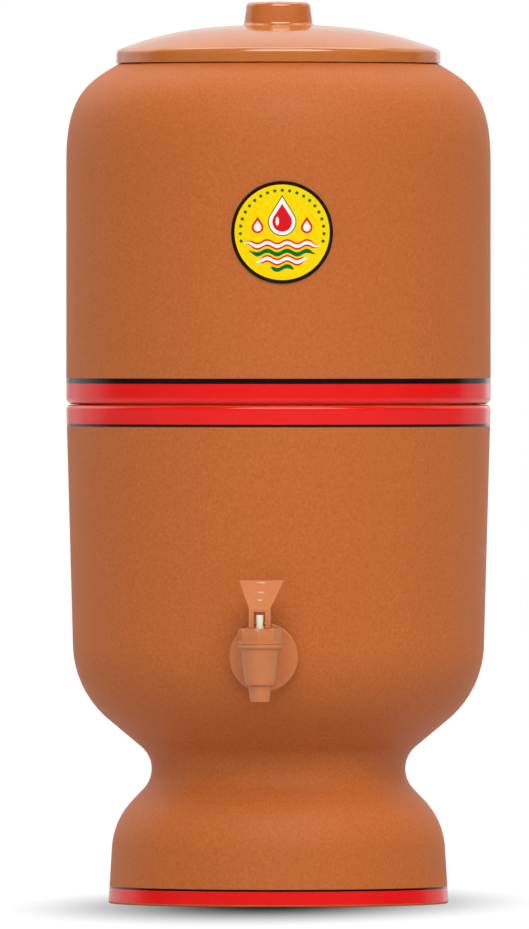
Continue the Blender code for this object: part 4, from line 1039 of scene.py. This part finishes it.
def makeTapBody():
    own = tap
    low = -own["belowShank"]
    nozzleTip = low - own["nozzleLength"]
    nozzleTop = own["barrelFoot"] - own["nozzleStep"]
    tipRadius = nozzleTop - own["nozzleTaper"]
    shankEnd = outFromAxis(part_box("spigot_body")[1].y)
    flangeBack = outFromAxis(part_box("outer_gasket")[0].y) + gap
    flangeFront = flangeBack + own["flangeThickness"]
    barrelOut = outFromAxis(barrel.y)
    neckEnd = barrelOut - barrelBore / 2
    body = placed(turned([
        (0, nozzleTip),
        (tipRadius, nozzleTip, own["nozzleEdge"]),
        (nozzleTop, low, own["nozzleEdge"]),
        (own["barrelFoot"], low, own["footEdge"]),
        (own["barrelFoot"] + own["barrelFlare"], own["aboveShank"], own["nozzleEdge"]),
        (collarRadius, own["aboveShank"], own["collarEdge"]),
        (collarRadius, collarTop, own["collarEdge"]),
        (0, collarTop),
    ], barrelSides), barrelAxis)
    shank = own["shankRadius"] - own["threadDepth"]
    arm = placed(turned([
        (0, shankEnd),
        (shank, shankEnd, own["threadDepth"]),
        (shank, flangeBack),
        (own["flangeRadius"], flangeBack, own["nozzleEdge"]),
        (own["flangeRadius"], flangeFront, own["flangeEdge"]),
        (own["neckRadius"], flangeFront, own["neckFillet"]),
        (own["neckRadius"], neckEnd),
        (0, neckEnd),
    ], barrelSides), shankAxis)
    body = combined(body, arm, "UNION")
    nozzleBore = tipRadius - own["nozzleWall"]
    bore = placed(turned([
        (0, nozzleTip - overcut),
        (nozzleBore, nozzleTip - overcut),
        (nozzleBore, seat),
        (barrelBore, seat),
        (barrelBore, collarTop + overcut),
        (0, collarTop + overcut),
    ]), barrelAxis)
    body = combined(body, bore, "DIFFERENCE")
    channel = placed(rod(own["shankRadius"] - own["shankWall"], shankEnd - overcut, barrelOut), shankAxis)
    body = combined(body, channel, "DIFFERENCE")
    winding = thread(own["shankRadius"], shankEnd + own["threadStart"], flangeBack - own["threadStop"],
                     own["threadPitch"], own["threadDepth"])
    addTo(body, placed(winding, shankAxis))
    makePiece("tapBody", body, ["tapPlastic"], "base", "spigot_body")


def makeTapSeals():
    bore = tap["shankRadius"] + gap
    gasketFace = outFromAxis(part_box("outer_gasket")[0].y)
    gasketRadius = sizeOf("outer_gasket").x / 2
    gasket = placed(ring(bore, gasketRadius, lowerVessel["waistRadius"], gasketFace), shankAxis)
    gasket = combined(gasket, lowerSolid(gap), "DIFFERENCE")
    makePiece("outerGasket", gasket, ["rubber"], "base", "outer_gasket")
    washerFace = outFromAxis(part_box("inner_washer")[1].y)
    washerRadius = sizeOf("inner_washer").x / 2
    washer = placed(ring(bore, washerRadius, washerFace, bodyRadius), shankAxis)
    washer = combined(washer, lowerCavity(gap), "INTERSECT")
    makePiece("innerWasher", washer, ["rubber"], "base", "inner_washer")


# The lower chamber's outside, grown by a clearance, as a solid to seat seals on
def lowerSolid(clearance):
    corners = lowerCorners()
    spots = movedLeft([Vector(corner[:2]) for corner in corners], -clearance)
    outline = [(*spot, corner[2]) for spot, corner in zip(spots, corners)]
    shape = turned([(0, spots[0].y), *outline, (0, spots[-1].y)], vesselSides)
    return placed(shape, Matrix.Translation(axis))


# The lower chamber's inside, shrunk by a clearance, as a solid to seat seals on
def lowerCavity(clearance):
    corners = [(0, lowerHigh.z), tuple(mouthOfLower(clearance)), *insideCorners(clearance)]
    return placed(turned(corners, vesselSides), Matrix.Translation(axis))


def makeShankNut():
    low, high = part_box("shank_nut")
    start = outFromAxis(high.y)
    end = outFromAxis(low.y)
    outer = sizeOf("shank_nut").z / 2
    nut = ring(tap["shankRadius"] + gap, outer, start, end, tap["nutEdge"])
    nut = cutFlats(nut, 6, outer, start - overcut, end + overcut)
    makePiece("shankNut", placed(nut, shankAxis), ["tapPlastic"], "base", "shank_nut")


def makeBonnet():
    own = bonnet
    bore = valve["stemRadius"] + gap
    plugFoot = bonnetFoot - own["plugDepth"]
    shape = turned([
        (bore, plugFoot),
        (barrelBore - gap, plugFoot, own["edge"]),
        (barrelBore - gap, bonnetFoot),
        (collarRadius, bonnetFoot, own["edge"]),
        (collarRadius, bonnetTop - own["chamferDown"]),
        (collarRadius - own["chamferAcross"], bonnetTop, own["edge"]),
        (bore, bonnetTop),
    ], barrelSides, closed=True)
    corner = collarRadius - own["cornerInset"]
    shape = cutFlats(shape, own["sides"], corner, bonnetFoot + own["collarHeight"], bonnetTop + overcut,
                     own["turn"])
    makePiece("bonnet", placed(shape, barrelAxis), ["tapPlastic"], "base", "bonnet", sharp=22)


def makeValve():
    own = valve
    cupFoot = seat + gap
    cupTop = cupFoot + own["cupHeight"]
    skirtTop = cupFoot + own["cupSkirt"]
    neck = own["stemRadius"] + gap + own["cupNeck"]
    cupRadius = barrelBore - own["cupClearance"]
    cup = turned([
        (0, cupFoot),
        (cupRadius, cupFoot, own["cupEdge"]),
        (cupRadius, skirtTop, own["skirtEdge"]),
        (neck, skirtTop + cupRadius - neck, own["neckFillet"]),
        (neck, cupTop, own["neckEdge"]),
        (own["stemRadius"] + gap, cupTop),
        (own["stemRadius"] + gap, cupTop - own["inCup"]),
        (0, cupTop - own["inCup"]),
    ])
    makePiece("seatCup", placed(cup, barrelAxis), ["silicone"], "stem", "seat_cup")
    stem = rod(own["stemRadius"], cupTop - own["inCup"] + gap, pinHeight + own["abovePin"], own["stemEdge"])
    atPin = Matrix.Translation((0, 0, pinHeight)) @ alongX
    stem = drilled(stem, own["pinRadius"] + gap, own["stemRadius"] + overcut, atPin)
    makePiece("valveStem", placed(stem, barrelAxis), ["creamPlastic"], "stem", "valve_stem")
    halfPin = sizeOf("lever_pin").x / 2
    pin = rod(own["pinRadius"], -halfPin, halfPin, own["pinEdge"], own["pinSides"])
    makePiece("leverPin", placed(pin, barrelAxis @ atPin), ["steel"], "stem", "lever_pin")


makeTapBody()
makeTapSeals()
makeShankNut()
makeBonnet()
makeValve()
print("tap body and valve fitted")


# Lever: a fork over the stem that opens into a fan-shaped thumb tab

lever = {
    "footDepth": 0.0025, "footFront": 0.0030, "footRear": 0.0055, "neckHeight": 0.0115,
    "creaseFront": 0.0026, "sideClearance": 0.0009, "topClearance": 0.00124, "leg": 0.0032,
    "bridge": 0.0024, "tabRise": 0.0164, "tabLean": math.radians(47.7), "tabFlare": 0.0070,
    "tabThickness": 0.0024, "edge": 0.00028,
    "ridges": ((0.0147, 0.0064), (0.0089, 0.0056), (0.0045, 0.0048)),  # (height above the crease, width)
    "ridgeTall": 0.0026, "ridgeProud": 0.0010, "ridgeSunk": 0.0002, "ridgeLeft": 0.0004,
}


def makeLever():
    own = lever
    slot = 2 * (valve["stemRadius"] + own["sideClearance"])
    width = slot + 2 * own["leg"]
    tab = width / 2 + own["tabFlare"]
    slotTop = math.hypot(valve["abovePin"], valve["stemRadius"]) + own["topClearance"]
    back = Vector((-math.sin(own["tabLean"]), math.cos(own["tabLean"])))
    under = Vector((-math.cos(own["tabLean"]), -math.sin(own["tabLean"])))
    crease = Vector((own["creaseFront"], slotTop + own["bridge"]))
    tip = crease + back * own["tabRise"] / back.y
    tipUnder = tip + under * own["tabThickness"]
    neck = atHeight(tipUnder, crease + under * own["tabThickness"], own["neckHeight"])
    side = [
        (own["footFront"], -own["footDepth"]),
        tuple(crease),
        tuple(tip),
        tuple(tipUnder),
        tuple(neck),
        (-own["footRear"], 0),
        (-own["footRear"], -own["footDepth"]),
    ]
    shape = placed(extruded(side, -2 * tab, 2 * tab), Matrix.Rotation(math.radians(-90), 4, "Z") @ alongY)
    slant = (tip.y - crease.y) / own["tabFlare"]
    widest = tab + overcut / slant
    front = [
        (-width / 2, -own["footDepth"] - overcut),
        (width / 2, -own["footDepth"] - overcut),
        (width / 2, crease.y),
        (widest, tip.y + overcut),
        (-widest, tip.y + overcut),
        (-width / 2, crease.y),
    ]
    depth = own["tabRise"] + own["footRear"] + overcut
    shape = combined(shape, placed(extruded(front, -depth, depth), alongY), "INTERSECT")
    window = block((-slot / 2, -depth, -own["footDepth"] - overcut), (slot / 2, depth, slotTop))
    shape = combined(shape, window, "DIFFERENCE")
    soften(shape, own["edge"], least=20)
    shape = drilled(shape, valve["pinRadius"] + gap, width, alongX, valve["pinSides"])
    for rise, reach in own["ridges"]:
        spot = crease + back * rise / back.y
        ridge = bmesh.new()
        bmesh.ops.create_uvsphere(ridge, u_segments=32, v_segments=16, radius=1)
        bmesh.ops.scale(ridge, vec=(reach / 2, own["ridgeProud"], own["ridgeTall"] / 2), verts=ridge.verts)
        # the ridges take the second finish, whose paler colour is a painted highlight
        for face in ridge.faces:
            face.material_index = 1
        lay = Matrix.Translation((-own["ridgeLeft"], -spot.x, spot.y))
        lay = lay @ Matrix.Rotation(-own["tabLean"], 4, "X") @ Matrix.Translation((0, own["ridgeSunk"], 0))
        shape = combined(shape, placed(ridge, lay), "UNION")
    placed(shape, barrelAxis @ Matrix.Translation((0, 0, pinHeight)))
    makePiece("lever", shape, ["tapPlastic", "polishedTapPlasticPaintedHighlight"], "lever", "lever", sharp=20)


makeLever()
print("lever hooked over the stem")


# Studio: broad soft panels round the filter, which only its surfaces see, and a pale floor

studio = {
    "room": 0.1,
    "panels": {
        # name: (azimuth, elevation, half width, half height, softness, strength), all but the last in degrees
        "key": (12, 38, 34, 8, 5, 7.3),
        "keyHigh": (12, 62, 38, 12, 6, 3.2),
        "front": (0, 18, 75, 18, 16, 0.195),
        "leftBack": (-130, 20, 24, 28, 14, 0.74),
        "farBack": (180, 6, 22, 9, 7, 0.72),
        "rightBack": (148, 6, 24, 10, 5, 0.43),
        "upperBack": (180, 30, 78, 15, 9, 0.82),
        "shoulderBack": (180, 60, 80, 10, 7, 3.0),
        "top": (0, 90, 181, 8, 6, 1.5),
    },
    "floorRadius": 6.0, "floorSides": 96,
    "floorTone": (199, 199, 199),
    # the camera sees the floor this dark where the glow is held back: the painted shadow's tone
    "seenTone": (40, 40, 40),  # the floor as the camera sees it, under the glow
    # The painted shadow is an oval where the floor's glow for the camera is held back. Its centre lies
    # forward of the filter's axis, and the glow grows between two shares of its half widths, given across the
    # floor and from front to back.
    "paintedShadowSize": (0.161, 0.520, 1.0), "paintedShadowForward": 0.047, "glowSpread": (0.10, 1.05),
}


# One for rays from the camera, straight or through something clear, and nothing for all others
def seenByCamera(tree):
    rays = tree.nodes.new("ShaderNodeLightPath")
    return mathNode(tree, "MAXIMUM", rays.outputs["Is Camera Ray"], rays.outputs["Is Transmission Ray"])


def panelLight(tree, azimuth, elevation, panel):
    middle, height, halfWidth, halfHeight, softness, strength = panel
    around = mathNode(tree, "SUBTRACT", azimuth, math.radians(middle))
    around = mathNode(tree, "WRAP", around, math.pi, -math.pi)
    rise = mathNode(tree, "SUBTRACT", elevation, math.radians(height))
    shares = []
    for off, half in ((around, halfWidth), (rise, halfHeight)):
        fade = (math.radians(half + softness), math.radians(half - softness))
        shares.append(ranged(tree, mathNode(tree, "ABSOLUTE", off), fade, easing="SMOOTHSTEP"))
    return mathNode(tree, "MULTIPLY", mathNode(tree, "MULTIPLY", *shares), strength)


def makeWorld():
    world = bpy.data.worlds.new("studio")
    bpy.context.scene.world = world
    world.use_nodes = True
    tree = world.node_tree
    shader = tree.nodes["Background"]
    way = tree.nodes.new("ShaderNodeSeparateXYZ")
    tree.links.new(tree.nodes.new("ShaderNodeTexCoord").outputs["Generated"], way.inputs[0])
    azimuth = mathNode(tree, "ARCTAN2", way.outputs["X"], mathNode(tree, "MULTIPLY", way.outputs["Y"], -1))
    elevation = mathNode(tree, "ARCSINE", way.outputs["Z"])
    light = studio["room"]
    for panel in studio["panels"].values():
        light = mathNode(tree, "ADD", panelLight(tree, azimuth, elevation, panel), light)
    seen = seenByCamera(tree)
    unseen = mathNode(tree, "MULTIPLY", light, mathNode(tree, "SUBTRACT", 1, seen))
    tree.links.new(mathNode(tree, "ADD", unseen, seen), shader.inputs["Strength"])
    shader.inputs["Color"].default_value = (1, 1, 1, 1)


# The floor glows for the camera, more so away from the foot, so that it looks white but for a painted contact
# shadow round the foot, with a little real shade in it.
def makeFloor():
    shape = bmesh.new()
    bmesh.ops.create_circle(shape, cap_ends=True, segments=studio["floorSides"], radius=studio["floorRadius"])
    mesh = bpy.data.meshes.new("floor")
    shape.to_mesh(mesh)
    shape.free()
    material = bpy.data.materials.new("floor")
    material.use_nodes = True
    tree = material.node_tree
    shader = tree.nodes["Principled BSDF"]
    shader.inputs["Roughness"].default_value = 1.0
    shader.inputs["Specular IOR Level"].default_value = 0.0
    shader.inputs["Emission Color"].default_value = (1, 1, 1, 1)
    seen = seenByCamera(tree)
    colour = mixColour(tree, seen, tone(*studio["floorTone"]), tone(*studio["seenTone"]))
    tree.links.new(colour, shader.inputs["Base Color"])
    # an oval round the foot where the glow is held back, as a painted shadow
    spread = tree.nodes.new("ShaderNodeMapping")
    spread.vector_type = "TEXTURE"
    spread.inputs["Location"].default_value = axis - Vector((0, studio["paintedShadowForward"], 0))
    spread.inputs["Scale"].default_value = studio["paintedShadowSize"]
    tree.links.new(tree.nodes.new("ShaderNodeTexCoord").outputs["Object"], spread.inputs["Vector"])
    away = tree.nodes.new("ShaderNodeVectorMath")
    away.operation = "LENGTH"
    tree.links.new(spread.outputs["Vector"], away.inputs[0])
    glow = ranged(tree, away.outputs["Value"], studio["glowSpread"], easing="SMOOTHSTEP")
    tree.links.new(mathNode(tree, "MULTIPLY", seen, glow), shader.inputs["Emission Strength"])
    mesh.materials.append(material)
    floor = bpy.data.objects.new("floor", mesh)
    bpy.context.scene.collection.objects.link(floor)


makeWorld()
makeFloor()
bpy.context.scene.view_settings.view_transform = "Standard"
print("studio lit")
